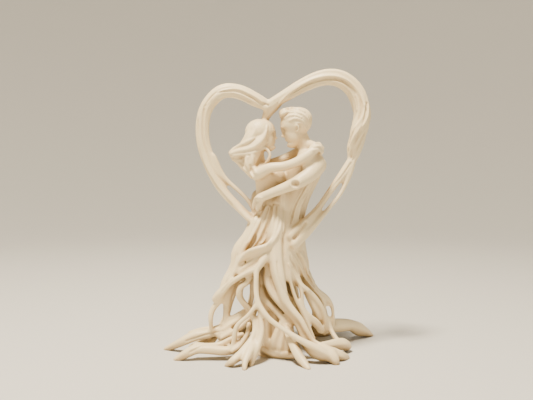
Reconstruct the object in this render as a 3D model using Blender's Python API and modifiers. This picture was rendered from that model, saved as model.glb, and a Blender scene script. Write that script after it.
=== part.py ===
"""Courting couple figurine: a couple embracing under a heart of twisted strands, on a cage of roots.

It is printed in one piece, so all of it is one solid. The forms are drawn as the front shows them, on a grid
of squares: x to the right of the middle, z up from the floor, y back from the middle plane, r the half
thickness. A form behind or before the middle plane is drawn where the eye sees it across that plane, and
seen() carries it along the line of sight to its true place. The back is made by rule, in the same manner.
"""

import math
import random

import bmesh
import bpy
from mathutils import Matrix, Vector

# Sizes, in metres
HEIGHT = 0.170
GRAIN = 0.0008
FILLET = 0.0005
FLOOR_BLOCK = 0.4

# The design grid, in squares
SQUARES_HIGH = 282
EYE_BACK = 750
EYE_UP = 200
SQUARE = HEIGHT / SQUARES_HIGH

TRIANGLES = 9400
STEPS = 4
RING_SIDES = 28
ON_FLOOR = None

# The heart: two bands of strands that rise from the couple and meet over their heads
HEART_LEFT = (
    (-18, 130, -4, 4.2), (-30, 141.5, 0, 4.1), (-46, 158.5, 0, 4.6), (-57.5, 180, 0, 6.3),
    (-67, 210, 0, 6.8), (-65, 239, 0, 7), (-50, 257.5, 0, 7.3), (-32, 258.5, 1, 7.5), (-13, 249.5, 1, 7),
    (0, 243, 1, 5),
)
HEART_RIGHT = (
    (-4, 243, 0, 5), (13, 253, 0, 6), (32, 264, 0, 7), (52, 272, 0, 8), (70, 271, 0, 8.7),
    (85, 258.5, 0, 8.7), (92, 237, 0, 8.1), (88.5, 217, 0, 8.3), (84.5, 201, 0, 7.9), (82.7, 193, 0, 5.6),
    (81, 187, 0, 4.2),
)
HEART_STRANDS = (
    ((12, 252, 1, 4), (3.5, 243, 4, 4.6), (-3.5, 234, 6, 4.6), (-6.5, 224, 5, 4.3)),
    ((-15, 138, 0, 2.4), (-22, 149.5, 1, 2.2), (-31, 159, 1, 2.2), (-46, 173, 1, 2.6), (-57, 194, 0, 3)),
    ((82, 191, 0, 4), (74, 178, -2, 4.2), (61, 160, -5, 3.4), (48, 141.5, -9, 3.5), (34, 126, -15, 5),
     (20, 114, -18, 4.5)),
    ((84, 192, 0, 3.2), (80, 177, -2, 3), (71.5, 158, -4, 2.3), (60.5, 143.5, -8, 2.3),
     (49, 130.5, -12, 3.2), (36, 117.5, -15, 5.2), (24, 106, -18, 5.5)),
)

# The couple: rings of x, z, half width and half depth, from the neck down
WOMAN_BODY = (
    (-11, 191, 5.5, 6), (-9, 185, 8, 11), (-5, 180, 12, 17), (-1, 173, 14.5, 16), (-2, 164, 12.5, 13),
    (-2, 154, 11.5, 11.5), (0, 140, 13, 14), (-4.5, 123, 17, 17), (-9, 111, 21, 19), (-12, 100, 23, 20),
    (-13, 91, 18, 17), (-12, 83, 9, 10),
)
MAN_BODY = (
    (36, 201, 8, 8), (38, 195, 11, 17), (38.5, 190, 15, 23), (35, 181, 19.5, 21), (31.5, 170, 17, 18),
    (27.5, 158, 15, 16), (24, 145, 13, 14.5), (22, 130, 12, 14), (22, 110, 13, 15), (25, 96, 12.5, 15),
    (30, 85, 9.5, 13), (33, 75, 6, 9),
)
ARMS = (
    # her near arm, round his shoulder, and her hand
    ((-12, 176, -15, 7), (0, 182, -21, 5.3), (14, 183.8, -24, 4.8), (27, 188, -27, 5.1),
     (37, 194.5, -27, 5.2), (46, 202, -24, 4.7)),
    ((44, 202, -23, 5), (49, 203, -18, 4.2), (51.5, 198.5, -20, 3)),
    # her far arm
    ((-6, 183, 15, 6), (13, 190, 17, 5.5), (27, 197, 15, 5.5), (36, 203, 10, 6)),
    # his near arm, from the shoulder to her waist, and his hand
    ((45, 195, -14, 6), (46.8, 186, -18, 8.5), (40, 176, -25, 8), (28, 168, -30, 6.8),
     (19, 164, -28, 5.8), (8, 159.5, -25, 5.2), (-3, 155, -21, 4.8), (-10, 152, -17, 4.8)),
    ((-9, 152, -15, 4.5), (-14, 147.5, -11, 3.6), (-16, 142.5, -8, 2.6)),
    ((-8, 150, -17, 3), (-10, 145, -15, 2.6), (-12, 141, -13, 2.2)),
    # his far arm and hand, seen past her back
    ((48, 185, 18, 9), (36, 168, 28, 6.5), (14, 158, 26, 5.5), (-6, 154, 16, 5), (-14, 155, 6, 4),
     (-15, 148, 2, 3.5)),
    # necks
    ((-9, 206, 0, 5.5), (-11, 197, 0, 5.3), (-11, 187, 0, 7)),
    ((31, 214, 0, 7.2), (34, 206, 0, 7.5), (38, 196, 0, 9)),
    # her bust
    ((7, 174, -8, 7.5), (9, 173, -7, 7.5)),
    ((7, 174, 8, 7.5), (9, 173, 7, 7.5)),
)

# Her hair, swept back from the face into a point and down to her shoulder blades
HAIR = (
    ((-13, 220, -3, 9), (-19, 210, -5, 8.5), (-28, 202, -5, 5)),
    ((-17, 221, 0, 6.5), (-20, 212, -2, 7), (-28.5, 202.7, -3, 5.2), (-35, 198.5, -3, 4),
     (-38.5, 196, -3, 3)),
    ((1, 221, -11, 2.4), (-4, 213, -13.5, 3), (-12, 206.5, -14, 3.5), (-23, 201.5, -11, 3.8),
     (-37, 197, -5, 3)),
    ((0, 212, -13, 2.2), (-9, 204, -14.5, 2.8), (-21, 198.5, -12, 3.3), (-35, 195, -6, 3)),
    ((-37.5, 194, -3, 3), (-31, 190.3, -4, 5), (-24, 184, -4, 6), (-17, 177, -4, 5)),
    ((-11, 206, -4, 6.5), (-17, 194, -8, 7), (-20, 184, -10, 6), (-18, 176, -8, 4)),
    ((-11, 206, 6, 6.5), (-18, 193, 6, 7), (-21, 183, 6, 6), (-17, 175, 5, 4.5)),
    ((-6, 202.5, -9, 2), (-2.5, 200, -10, 1.9), (0, 195.5, -11, 1.8), (-1.5, 190.5, -11, 1.9),
     (-4.5, 186, -10, 2)),
)

# The skirts and roots
ROOTS = (
    # the dress's left edge, down to the knee
    ((-18, 128, -2, 6), (-28, 113, -4, 6), (-33, 101, -5, 6), (-34, 88, -6, 5.5), (-37, 78, -6, 6),
     (-42, 68, -8, 6.3), (-46, 58, -10, 5.6)),
    ((-12, 128, -10, 6), (-21, 110, -14, 6), (-28, 97, -15, 5), (-32, 84, -16, 4.5), (-39, 70, -16, 4.5)),
    # the hem that swirls left across the lap, and the strand below it that ends in the knee
    ((12, 148, -10, 2.5), (12.5, 128, -17, 3), (9, 113, -22, 3.4), (0, 104, -25, 3.8),
     (-11, 99, -25, 3.6), (-23, 94, -22, 3.2), (-33, 86, -17, 2.6)),
    ((4, 100, -24, 4), (-6, 90, -27, 4), (-12, 83, -28, 3.6), (-25, 76, -27, 2.8), (-34, 70.7, -25, 2.9),
     (-42, 64.7, -20, 3.3), (-50, 56, -16, 4.8), (-55, 51, -14, 3.6)),
    # the middle strand, down to the front right toes, and its left fork
    ((-2, 98, -24, 4.5), (-8, 88, -28, 4), (-13, 80, -30, 3.2), (-13.7, 72, -32, 2.8),
     (-14, 63, -33, 2.8), (-13.5, 55, -35, 2.9), (-12, 48, -37, 3), (-9, 42, -39, 3), (-5, 36, -41, 3),
     (0, 30.5, -42, 2.9), (7, 25, -44, 2.8), (15, 19.5, -46, 2.8), (27, 12, -49, 3.2), (34, 8, -50, 3.6),
     (52, -2, -50, 5), (66, -13, ON_FLOOR, 3.5)),
    ((-14, 45, -37, 2.6), (-18, 39, -37.5, 2.4), (-23, 33.5, -37, 2.3), (-29, 28.5, -37, 2.3),
     (-33, 24, -37, 2.6), (-35, 18, -37, 2.8), (-35.5, 12, -37, 2.8), (-37, 5, -37, 2.6),
     (-39, 0, -37, 2.4)),
    # the front panel of the skirt, and the two strands inside its edge
    ((6, 150, -8, 5), (6, 130, -14, 7), (5, 106, -21, 7.5), (6, 88, -25, 7.3), (8.5, 74, -28, 6.8),
     (12, 60, -30, 5.4), (15, 50, -31, 4.8), (19, 44, -32, 4.1), (24.5, 37, -33, 3.9),
     (30.5, 30, -34, 3.5), (35.5, 20, -35, 3.4), (41, 10, -35, 3.4), (47, 5, -36, 4)),
    ((-3, 84, -21, 3.8), (-3, 70, -23, 3.8), (2, 58, -25, 3.8), (9, 48, -27, 3.6), (18, 38, -29, 3.3),
     (25, 29, -31, 3), (30, 19, -33, 2.8), (34, 9, -36, 3)),
    ((-8, 62, -14, 3.5), (-4, 50, -18, 4), (8, 38, -22, 4.2), (17, 26, -26, 4), (22, 14, -28, 4)),
    ((-7, 64, -11, 4), (-6, 52, -13, 4.2), (-5, 40, -15, 4.4), (-4, 28, -17, 4.6), (-4, 16, -19, 5),
     (-3, 4, -21, 5)),
    # the cloth between the panel and his side, and what shows inside the gaps
    ((14, 140, -4, 6), (15, 120, -6, 8), (16, 100, -8, 7.5), (16, 86, -12, 6), (18, 70, -14, 5.5),
     (23, 56, -15, 4)),
    ((18, 138, -8, 6), (18.5, 115, -12, 7), (21, 94, -13, 6)),
    ((-6, 94, -8, 7), (-8, 80, -9, 6.5), (-7, 67, -12, 4)),
    ((-32, 88, -5, 7), (-28, 77, -6, 7), (-22, 70, -6, 5)),
    ((-34, 80, -7, 6), (-36, 66, -7, 4.6), (-38, 57.5, -6, 3.4)),
    # the curl inside the left gap, and the strands behind it
    ((-18, 76, -24, 3), (-23, 68, -24, 3.3), (-28.5, 64, -24, 3.5), (-30.5, 59, -23, 3.8),
     (-30.5, 54, -22, 3.7), (-28, 49, -21, 3.4), (-24, 44, -20, 3.4), (-20, 39, -19, 3.2),
     (-17, 33, -18, 3.5)),
    ((-16, 84, -14, 3.6), (-17.5, 72, -14, 3), (-18, 60, -13, 2.6), (-18.5, 50, -13, 2.6),
     (-23, 41, -13, 2.8), (-31, 36, -13, 2.6), (-40, 30.4, -12, 2.8), (-47, 26, -11, 3.2)),
    ((-22, 38, -16, 2.6), (-32, 30, -16, 2.6), (-41, 24, -16, 2.8), (-48, 18, -14, 3.6)),
    ((-20, 32, -21, 2.8), (-29, 23, -22, 2.8), (-39, 17, -21, 3), (-47, 12, -19, 3.6)),
    # the left post and its side loop
    ((-38, 70, -10, 6), (-42, 56, -10, 5.4), (-43, 45, -10, 4.2), (-43.5, 38, -10.5, 3.7),
     (-44, 31, -11, 3.3), (-44, 24, -11, 3.5), (-48, 14, -12, 5.6)),
    ((-48, 51, -13, 3), (-53, 46, -13, 3), (-57, 41, -13, 3), (-59, 35, -14, 2.9), (-59.3, 29, -14, 2.6),
     (-59, 23, -13, 2.3), (-58, 18, -12, 3)),
    # the left toes
    ((-35, 26, -6, 4), (-50, 20.5, -8, 5.2), (-62, 16.4, -9, 5), (-75, 14, -9, 5.5), (-88, 8, -8, 4.6),
     (-104, 0.5, ON_FLOOR, 3)),
    ((-52, 21, 1, 4), (-68, 19.5, 3, 3.4), (-80, 17, 5, 2.4)),
    ((-30, 5, -34, 5), (-43, -1, -36, 4.8), (-61, 0.5, -36, 5), (-73, 1, -36, 5.2),
     (-83, -3.5, -37, 4.8), (-94, -10, ON_FLOOR, 3.3)),
    ((-28, 15, -28, 3.2), (-40, 10, -28, 3.2), (-50, 5.5, -29, 3), (-62, 4, -31, 3.2), (-74, 4, -33, 4)),
    # the front left foot
    ((-17, 34, -34, 3), (-15, 26, -36, 3), (-15.5, 18, -40, 3), (-19, 10, -44, 3.2), (-24, 3, -49, 3.8),
     (-30, -5, -55, 4.6), (-37, -11, -60, 4.3), (-43, -16, ON_FLOOR, 3.2)),
    ((-10, 38, -36, 2.8), (-8.5, 28, -38, 3), (-8.5, 18, -41, 3.3), (-11, 8, -45, 3.8),
     (-15, -2, -50, 4.2), (-20, -16, ON_FLOOR, 3)),
    ((-17, 6, -46, 4), (-21, -3, -55, 4.4), (-25, -12, -63, 3.4), (-25.5, -20, ON_FLOOR, 2.5)),
    ((-21, 26, -30, 2.6), (-22, 18, -33, 2.6), (-26, 10, -36, 2.8), (-31, 3, -39, 3), (-37, -1, -42, 3)),
    # the lip of the skirt between the front feet, and the rim inside it
    ((-9, 2, -28, 3), (0, -3.3, -29, 3.2), (10, -5.6, -31, 3.3), (18, -6, -35, 3.3), (25, -5, -42, 3.5)),
    ((-8, -1, -24, 3.2), (2, -3.5, -26, 3.2), (10, -3.5, -27, 3.2), (17, -2.5, -27, 3.2),
     (23, 1, -27, 3.4)),
    # the front right foot and its toes
    ((16, 22, -33, 3.6), (21, 10, -41, 4.6), (27.5, -4, -51, 5), (33, -12, -57, 4.6),
     (38.5, -19, ON_FLOOR, 3)),
    ((34, 6, -44, 3.2), (42, -1, -47, 5.4), (52, -4, -47, 7), (60, -3.5, -45, 7)),
    ((52, 4, -34, 4.4), (60, 5, -25, 5), (66, 6, -18, 5.6), (72, 6, -12, 6), (77, 4, -6, 5)),
    ((54, -1, -42, 6), (62, -3, -40, 6.2), (70, -6, -37, 5.6), (76, -8, ON_FLOOR, 4.4)),
    ((58, -4, -47, 6), (62, -6, -48, 6), (65, -10.5, -50, 5), (66.5, -14.5, ON_FLOOR, 3.4)),
    ((48, 4.5, -36, 4.2), (57, -1, -41, 6)),
    # his side, down to the right knee
    ((24, 100, -6, 7), (30.5, 88, -4, 8), (33, 76, 0, 6.5), (38, 66, 3, 5.5), (47, 57, 6, 5),
     (56, 51, 9, 4), (61.7, 44, 10, 2.3), (63, 36, 10, 1.9), (62.7, 28, 11, 2.5), (59, 20, 16, 4)),
    ((40, 64, 2, 5), (48, 56, 4, 4), (53, 47, 4, 3), (54, 37, 4, 2.7), (56, 27, 6, 4), (54, 20, 12, 5)),
    ((54, 44.5, 5, 1), (61, 44.5, 9, 1)),
    ((21, 97, -14, 3.8), (24, 82, -14, 3.6), (30, 66, -12, 3.3), (36, 60.5, -11, 3.2), (42, 55, -9, 3.2),
     (48, 47.5, -7, 3.2), (52, 40, -5, 3.2), (54, 31, -2, 3.6), (54, 22, 2, 5)),
    ((18, 90, -18, 4), (21, 78, -18, 3.6), (25, 71, -17, 3), (31, 65, -16, 2.8), (38, 59, -13, 3)),
    ((34, 62, -8, 3), (39.5, 51, -8, 3.2), (44, 42, -7, 3.4), (48, 33, -4, 4)),
    ((17, 96, -19, 3.4), (18, 88, -20, 2.8), (19, 75, -22, 2.4), (21, 65, -22, 2.3), (24, 55, -22, 2.4),
     (27.5, 46, -22, 2.6), (31.5, 38, -21, 3), (36, 28, -21, 3), (40, 18, -21, 3), (43, 10, -22, 3.2)),
    ((28, 68, -17, 2.4), (31.5, 58, -18, 2.2), (32, 48, -18, 2.4), (34, 40, -18, 2.7),
     (40, 33.5, -17, 2.8), (47, 28, -14, 2.8), (51, 20, -8, 4)),
    ((29.5, 50, -18, 2.2), (33, 41, -18, 3), (38, 33, -17, 3.4), (44, 27, -15, 3.2), (50, 22, -10, 4)),
    # the claw at the right
    ((56, 32, 8, 4), (60, 22, 3, 3), (65, 13, -5, 2.6), (70, 7, -8, 3)),
    ((58, 25, 18, 6.5), (68, 25, 27, 6.8), (76, 25.2, 35, 6.2), (81, 24.5, 41, 5.8), (88, 21, 48, 6.8),
     (95, 17.8, 52, 4.8), (102, 14.3, ON_FLOOR, 2.2)),
)

# The hidden inner stems: rings of x, y, z, half width and half depth, in true squares
INNER_TRUNK = (
    (6, -10, -3, 21, 21), (6, -10, 5, 18, 18), (7, -10, 13, 12, 13), (7, -11, 26, 8.5, 8),
    (7, -11, 44, 9, 8), (5, -10, 66, 11, 9), (0, -4, 90, 13, 13),
)
RIGHT_TRUNK = (
    (54, 66, -3, 13, 13), (54, 61, 9, 10, 10), (53, 44, 22, 9, 9), (50, 24, 38, 8, 8), (42, 8, 58, 7, 8),
    (33, 2, 80, 7, 9),
)

# The back roots: level, distance out, half thickness; then each one's bearing, reach and stoutness
BACK_ROOT = (
    (126, 9, 6), (108, 15, 5.5), (90, 24, 4.8), (70, 35, 4.2), (46, 44, 3.9), (22, 52, 5), (9, 66, 5),
    (0, 84, 3),
)
BACK_ROOTS = (
    (66, 1.0, 1.0), (77, 0.9, 1.0), (89, 1.02, 1.0), (101, 0.93, 1.0), (118, 1.0, 0.9), (138, 0.78, 0.8),
    (172, 0.95, 0.8),
)
BACK_MIDDLE = 2
BACK_WIDER = 1.05
BACK_SWIRL = -11
BACK_SEED = 5

# Folds of cloth, in squares: how thick each stands, how far in it lies, and how thin its ends are
FOLD = 2.4
FOLD_SHARE = 0.93
FOLD_OUT = 0.6
FOLD_END = 0.6

# A head, in parts of its height: forward, to its left, and up from the chin
HEAD_FORMS = (
    # centre, then half sizes
    ((-0.04, 0, 0.64), (0.42, 0.325, 0.36)),
    ((0.07, 0, 0.36), (0.27, 0.24, 0.34)),
    ((0.20, 0, 0.12), (0.14, 0.13, 0.11)),
)
HEAD_MIDDLE = Vector((0.05, 0, 0.45))
FACE = (
    # off the middle, height, how far out, width, tallness
    (0.10, 0.60, 0.025, 0.09, 0.04),
    (0.115, 0.52, -0.050, 0.06, 0.05),
    (0.115, 0.505, 0.030, 0.04, 0.028),
    (0, 0.50, 0.050, 0.035, 0.09),
    (0, 0.36, 0.100, 0.040, 0.055),
    (0, 0.245, 0.035, 0.070, 0.02),
    (0, 0.20, 0.035, 0.055, 0.02),
    (0, 0.16, -0.020, 0.060, 0.02),
    (0, 0.09, 0.020, 0.060, 0.04),
)


def seen(x, z, y):
    """The true place, in squares, of a point drawn at (x, z) and lying y squares back."""
    spread = 1 + y / EYE_BACK
    return Vector((x * spread, y, EYE_UP + (z - EYE_UP) * spread))


def drawn(rows):
    """The rows x, z, y, r of one strand as true places and half thicknesses."""
    found = []
    for x, z, y, r in rows:
        if y is ON_FLOOR:
            y = EYE_BACK * (EYE_UP / (EYE_UP - z) - 1)
        found.append((*seen(x, z, y), r * (1 + y / EYE_BACK)))
    return found


def smoothed(rows, steps=STEPS):
    """A smooth run through the rows."""
    rows = [Vector(row) for row in rows]
    ends = [2 * rows[0] - rows[1], *rows, 2 * rows[-1] - rows[-2]]
    run = []
    for a, b, c, d in zip(ends, ends[1:], ends[2:], ends[3:]):
        for step in range(steps):
            t = step / steps
            square = (2 * a - 5 * b + 4 * c - d) * t ** 2
            cube = (3 * b - a - 3 * c + d) * t ** 3
            run.append((2 * b + (c - a) * t + square + cube) / 2)
    run.append(rows[-1])
    return run


def rounded(run):
    """The run with its two ends drawn in to a round tip."""
    ends = []
    for last, before in ((run[0], run[1]), (run[-1], run[-2])):
        away = Vector(last[:3]) - Vector(before[:3])
        away.normalize()
        tip = []
        for out, share in ((0.55, 0.82), (0.9, 0.45)):
            place = Vector(last[:3]) + away * last[3] * out
            tip.append(Vector((*place, last[3] * share)))
        ends.append(tip)
    return [*reversed(ends[0]), *run, *ends[1]]


def add_strand(curve, run):
    """One strand of the curve, with its thickness at each point."""
    run = rounded(run)
    spline = curve.splines.new("POLY")
    spline.points.add(len(run) - 1)
    for point, (x, y, z, r) in zip(spline.points, run):
        point.co = (x * SQUARE, y * SQUARE, z * SQUARE, 1)
        point.radius = max(r, 0.3)


def add_band(curve, rows, strands, turn_from, turn_to):
    """A flat band of strands side by side, whose width turns from one angle to the other."""
    run = smoothed(drawn(rows))
    for strand in range(strands):
        aside = 2 * strand / (strands - 1) - 1
        path = []
        for index, row in enumerate(run):
            before = run[max(index - 1, 0)]
            after = run[min(index + 1, len(run) - 1)]
            along = Vector((after[0] - before[0], 0, after[2] - before[2])).normalized()
            across = Vector((along.z, 0, -along.x))
            turn = math.radians(turn_from + (turn_to - turn_from) * index / (len(run) - 1))
            out = across * math.cos(turn) + Vector((0, 1, 0)) * math.sin(turn)
            place = Vector(row[:3]) + out * aside * row[3] * 0.6
            path.append(Vector((*place, row[3] * 0.46)))
        add_strand(curve, path)


def add_back_roots(curve):
    """The roots of the hidden side: they leave the hips, swing round as they fall, and fork into toes."""
    chance = random.Random(BACK_SEED)
    for bearing, reach, stout in BACK_ROOTS:
        rows = []
        for level, out, r in BACK_ROOT:
            fallen = 1 - level / BACK_ROOT[0][0]
            angle = math.radians(bearing + BACK_SWIRL * math.sin(math.pi * fallen) + chance.uniform(-2, 2))
            out *= reach
            x = BACK_MIDDLE + BACK_WIDER * out * math.cos(angle)
            rows.append((x, out * math.sin(angle), level, r * stout))
        add_strand(curve, smoothed(rows))
        fork = math.radians(bearing + 14)
        toe = [rows[-3]]
        for out, level, r in ((68, 6, 4), (80, 0, 2.6)):
            toe.append((BACK_MIDDLE + out * reach * math.cos(fork), out * reach * math.sin(fork), level, r))
        add_strand(curve, smoothed(toe))


def add_folds(curve, rings, bearings, twist):
    """Ridges of cloth that run down a body, each turning by twist on the way."""
    for bearing in bearings:
        rows = []
        for index, (x, z, wide, deep) in enumerate(rings):
            share = index / (len(rings) - 1)
            angle = math.radians(bearing + twist * share)
            thick = FOLD * (FOLD_END + FOLD_END * math.sin(math.pi * share))
            wide = (wide - thick) * FOLD_SHARE + thick * FOLD_OUT
            deep = (deep - thick) * FOLD_SHARE + thick * FOLD_OUT
            rows.append((x + wide * math.cos(angle), deep * math.sin(angle), z, thick))
        add_strand(curve, smoothed(rows))


def mesh_of_strands():
    """Every strand as one mesh of closed tubes."""
    curve = bpy.data.curves.new("strands", "CURVE")
    curve.dimensions = "3D"
    curve.bevel_depth = SQUARE
    curve.bevel_resolution = 4
    curve.use_fill_caps = True
    add_band(curve, HEART_LEFT, 3, 0, 0)
    add_band(curve, HEART_RIGHT, 3, 0, 50)
    for rows in HEART_STRANDS + ARMS + HAIR + ROOTS:
        add_strand(curve, smoothed(drawn(rows)))
    add_back_roots(curve)
    add_folds(curve, WOMAN_BODY[5:11], (95, 120, 150, 185, 215, 240, 262), -12)
    add_folds(curve, MAN_BODY[4:10], (-80, -58, -35, -10, 20, 50, 80), 10)
    strands = bpy.data.objects.new("strands", curve)
    bpy.context.collection.objects.link(strands)
    graph = bpy.context.evaluated_depsgraph_get()
    mesh = bpy.data.meshes.new_from_object(strands.evaluated_get(graph))
    bpy.data.objects.remove(strands)
    return mesh


def add_loft(bm, rings):
    """A closed body through rings of x, y, z, half width and half depth."""
    loops = []
    for x, y, z, half_wide, half_deep in smoothed(rings):
        size = Matrix.Diagonal((half_wide, half_deep, 1, 1))
        move = Matrix.Translation(Vector((x, y, z)) * SQUARE)
        made = bmesh.ops.create_circle(bm, segments=RING_SIDES, radius=SQUARE, matrix=move @ size)
        loops.append([edge for edge in bm.edges if edge.verts[0] in made["verts"] and edge.is_wire])
    for lower, upper in zip(loops, loops[1:]):
        bmesh.ops.bridge_loops(bm, edges=lower + upper)
    bmesh.ops.holes_fill(bm, edges=[edge for edge in bm.edges if edge.is_boundary])


def mesh_of_bodies():
    """The two bodies and the hidden stems, as closed lofts."""
    bm = bmesh.new()
    for rows in (WOMAN_BODY, MAN_BODY):
        add_loft(bm, [(x, 0, z, wide, deep) for x, z, wide, deep in rows])
    for rows in (INNER_TRUNK, RIGHT_TRUNK):
        add_loft(bm, rows)
    bmesh.ops.recalc_face_normals(bm, faces=bm.faces)
    mesh = bpy.data.meshes.new("bodies")
    bm.to_mesh(mesh)
    bm.free()
    return mesh


def reach_of(direction):
    """How far the head goes from its middle in one direction, the forms of the head blended."""
    total = 0
    for centre, half in HEAD_FORMS:
        start = [(m - c) / h for m, c, h in zip(HEAD_MIDDLE, centre, half)]
        way = [d / h for d, h in zip(direction, half)]
        a = sum(w * w for w in way)
        b = sum(s * w for s, w in zip(start, way))
        c = sum(s * s for s in start) - 1
        under = b * b - a * c
        if under > 0:
            total += max(0, (math.sqrt(under) - b) / a) ** 14
    return total ** (1 / 14)


def with_face(point):
    """The point of a head, moved forwards or back where a feature of the face is."""
    if point.x < 0.1:
        return point
    front = min(1, (point.x - 0.1) / 0.12)
    out = 0
    for aside, height, forward, wide, tall in FACE:
        across = (abs(point.y) - aside) / wide
        up = (point.z - height) / tall
        out += forward * math.exp(-across * across - up * up)
    return point + Vector((out * front, 0, 0))


def add_head(bm, place, tall, facing, nod, fuller=1.0):
    """A head with its face: its middle's place and height in squares, the way it faces and its nod."""
    made = bmesh.ops.create_uvsphere(bm, u_segments=64, v_segments=48, radius=1)
    turn = Matrix.Rotation(math.radians(facing), 4, "Z") @ Matrix.Rotation(math.radians(nod), 4, "Y")
    middle = Vector((0, 0, 0.5))
    for vert in made["verts"]:
        way = vert.co.normalized()
        point = with_face(HEAD_MIDDLE + way * reach_of(way))
        point = turn @ (point - middle) * tall * fuller
        vert.co = (seen(*place) + point) * SQUARE


def add_ball(bm, place, half, tilt=0):
    """A rounded form: place and half sizes in squares."""
    size = Matrix.Diagonal((*half, 1))
    turn = Matrix.Rotation(math.radians(tilt), 4, "Y")
    move = Matrix.Translation(seen(*place) * SQUARE)
    bmesh.ops.create_uvsphere(bm, u_segments=32, v_segments=24, radius=SQUARE, matrix=move @ turn @ size)


def mesh_of_heads():
    """Both heads with their caps of hair."""
    bm = bmesh.new()
    add_head(bm, (-7, 214.5, 0), 33, 0, -6)
    add_ball(bm, (-9, 218, 0), (14.4, 12.5, 12.6), -6)
    add_head(bm, (26, 222, 0), 38, 180, 14)
    add_ball(bm, (26.5, 230, 0), (15.8, 13, 12.8), -14)
    add_ball(bm, (13.2, 234.3, 0), (3.7, 7, 3.2))
    mesh = bpy.data.meshes.new("heads")
    bm.to_mesh(mesh)
    bm.free()
    return mesh


def joined(meshes):
    """The meshes as one, which is still a set of closed forms that pass through each other."""
    bm = bmesh.new()
    for mesh in meshes:
        bm.from_mesh(mesh)
    whole = bpy.data.meshes.new("forms")
    bm.to_mesh(whole)
    bm.free()
    return whole


def add_remesh(obj, name):
    remesh = obj.modifiers.new(name, "REMESH")
    remesh.mode = "VOXEL"
    remesh.voxel_size = GRAIN
    remesh.adaptivity = 0


def add_displace(obj, name, distance):
    displace = obj.modifiers.new(name, "DISPLACE")
    displace.mid_level = 0
    displace.strength = distance


def fused(obj):
    """The forms fused into one skin, with the corners between them filled to a soft fillet."""
    add_remesh(obj, "Fuse")
    add_displace(obj, "Swell", FILLET)
    add_remesh(obj, "Fill")
    add_displace(obj, "Shrink", -FILLET)
    smooth = obj.modifiers.new("Soften", "SMOOTH")
    smooth.factor = 0.5
    smooth.iterations = 2
    graph = bpy.context.evaluated_depsgraph_get()
    return bpy.data.meshes.new_from_object(obj.evaluated_get(graph))


def weigh_for_faces(obj):
    """A group that thins the heads and hands less than the roots."""
    group = obj.vertex_groups.new(name="thin")
    kept = (240 * SQUARE, 200 * SQUARE)
    for vert in obj.data.vertices:
        near = kept[1] < vert.co.z < kept[0] and abs(vert.co.x) < 46 * SQUARE
        group.add([vert.index], 0.35 if near else 1.0, "REPLACE")


def ivory_resin():
    material = bpy.data.materials.new("ivory_resin")
    material.use_nodes = True
    shader = material.node_tree.nodes["Principled BSDF"]
    shader.inputs["Base Color"].default_value = (0.72, 0.62, 0.46, 1)
    shader.inputs["Roughness"].default_value = 0.55
    shader.inputs["Metallic"].default_value = 0
    return material


def main():
    for obj in list(bpy.data.objects):
        bpy.data.objects.remove(obj)
    scene = bpy.context.scene.collection
    figurine = bpy.data.collections.new("courting_couple")
    cutters = bpy.data.collections.new("courting_couple_cutters")
    scene.children.link(figurine)
    scene.children.link(cutters)

    forms = bpy.data.objects.new("forms", joined([mesh_of_strands(), mesh_of_bodies(), mesh_of_heads()]))
    scene.objects.link(forms)
    skin = fused(forms)
    bpy.data.objects.remove(forms)

    couple = bpy.data.objects.new("couple", skin)
    figurine.objects.link(couple)
    skin.materials.clear()
    skin.materials.append(ivory_resin())
    weigh_for_faces(couple)
    thin = couple.modifiers.new("Facet", "DECIMATE")
    thin.ratio = TRIANGLES / (2 * len(skin.polygons))
    thin.vertex_group = "thin"
    thin.vertex_group_factor = 0.003

    bm = bmesh.new()
    bmesh.ops.create_cube(bm, size=FLOOR_BLOCK, matrix=Matrix.Translation((0, 0, -FLOOR_BLOCK / 2)))
    block = bpy.data.meshes.new("floor_block")
    bm.to_mesh(block)
    bm.free()
    floor = bpy.data.objects.new("floor_block", block)
    floor.hide_render = True
    floor.display_type = "WIRE"
    cutters.objects.link(floor)
    stand = couple.modifiers.new("Stand", "BOOLEAN")
    stand.object = floor
    stand.operation = "DIFFERENCE"


if __name__ == "__main__":
    main()
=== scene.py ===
"""Courting couple figurine, printed in ivory resin as one piece, on a pale floor.

The forms are drawn as the front shows them, on a grid of squares: x to the right of the middle, z up from
the floor, y back from the middle plane, r the half thickness. seen() carries a drawn point along the line
of sight to its true place. Hair, cloth and bark are then worked into the skin along lines laid on it.
"""

import math
import random

import bmesh
import bpy
from mathutils import Matrix, Vector


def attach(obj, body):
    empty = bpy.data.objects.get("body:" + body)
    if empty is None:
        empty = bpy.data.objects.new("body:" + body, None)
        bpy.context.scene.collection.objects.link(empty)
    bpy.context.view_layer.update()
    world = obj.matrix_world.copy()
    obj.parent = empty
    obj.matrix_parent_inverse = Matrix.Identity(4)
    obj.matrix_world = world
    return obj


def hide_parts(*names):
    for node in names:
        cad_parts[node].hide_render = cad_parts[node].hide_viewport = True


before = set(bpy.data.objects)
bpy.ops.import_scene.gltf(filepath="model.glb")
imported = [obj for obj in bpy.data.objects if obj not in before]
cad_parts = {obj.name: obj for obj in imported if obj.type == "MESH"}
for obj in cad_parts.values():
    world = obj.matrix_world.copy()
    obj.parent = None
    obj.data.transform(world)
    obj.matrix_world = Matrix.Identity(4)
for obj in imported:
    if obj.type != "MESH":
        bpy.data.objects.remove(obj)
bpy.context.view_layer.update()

# Sizes, in metres: the whole, the grain of the fused forms and of the skin, and the block cut off below
HEIGHT = 0.170
GRAIN = 0.0005
FINE_GRAIN = 0.0004
FLOOR_BLOCK = 0.4

# How far the fused forms swell, to close thin gaps, and then shrink; the spacing of a worked line's dots
SWELL = 0.0003
SHRINK = 0.0004
LINE_SPACING = 0.0002

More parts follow.
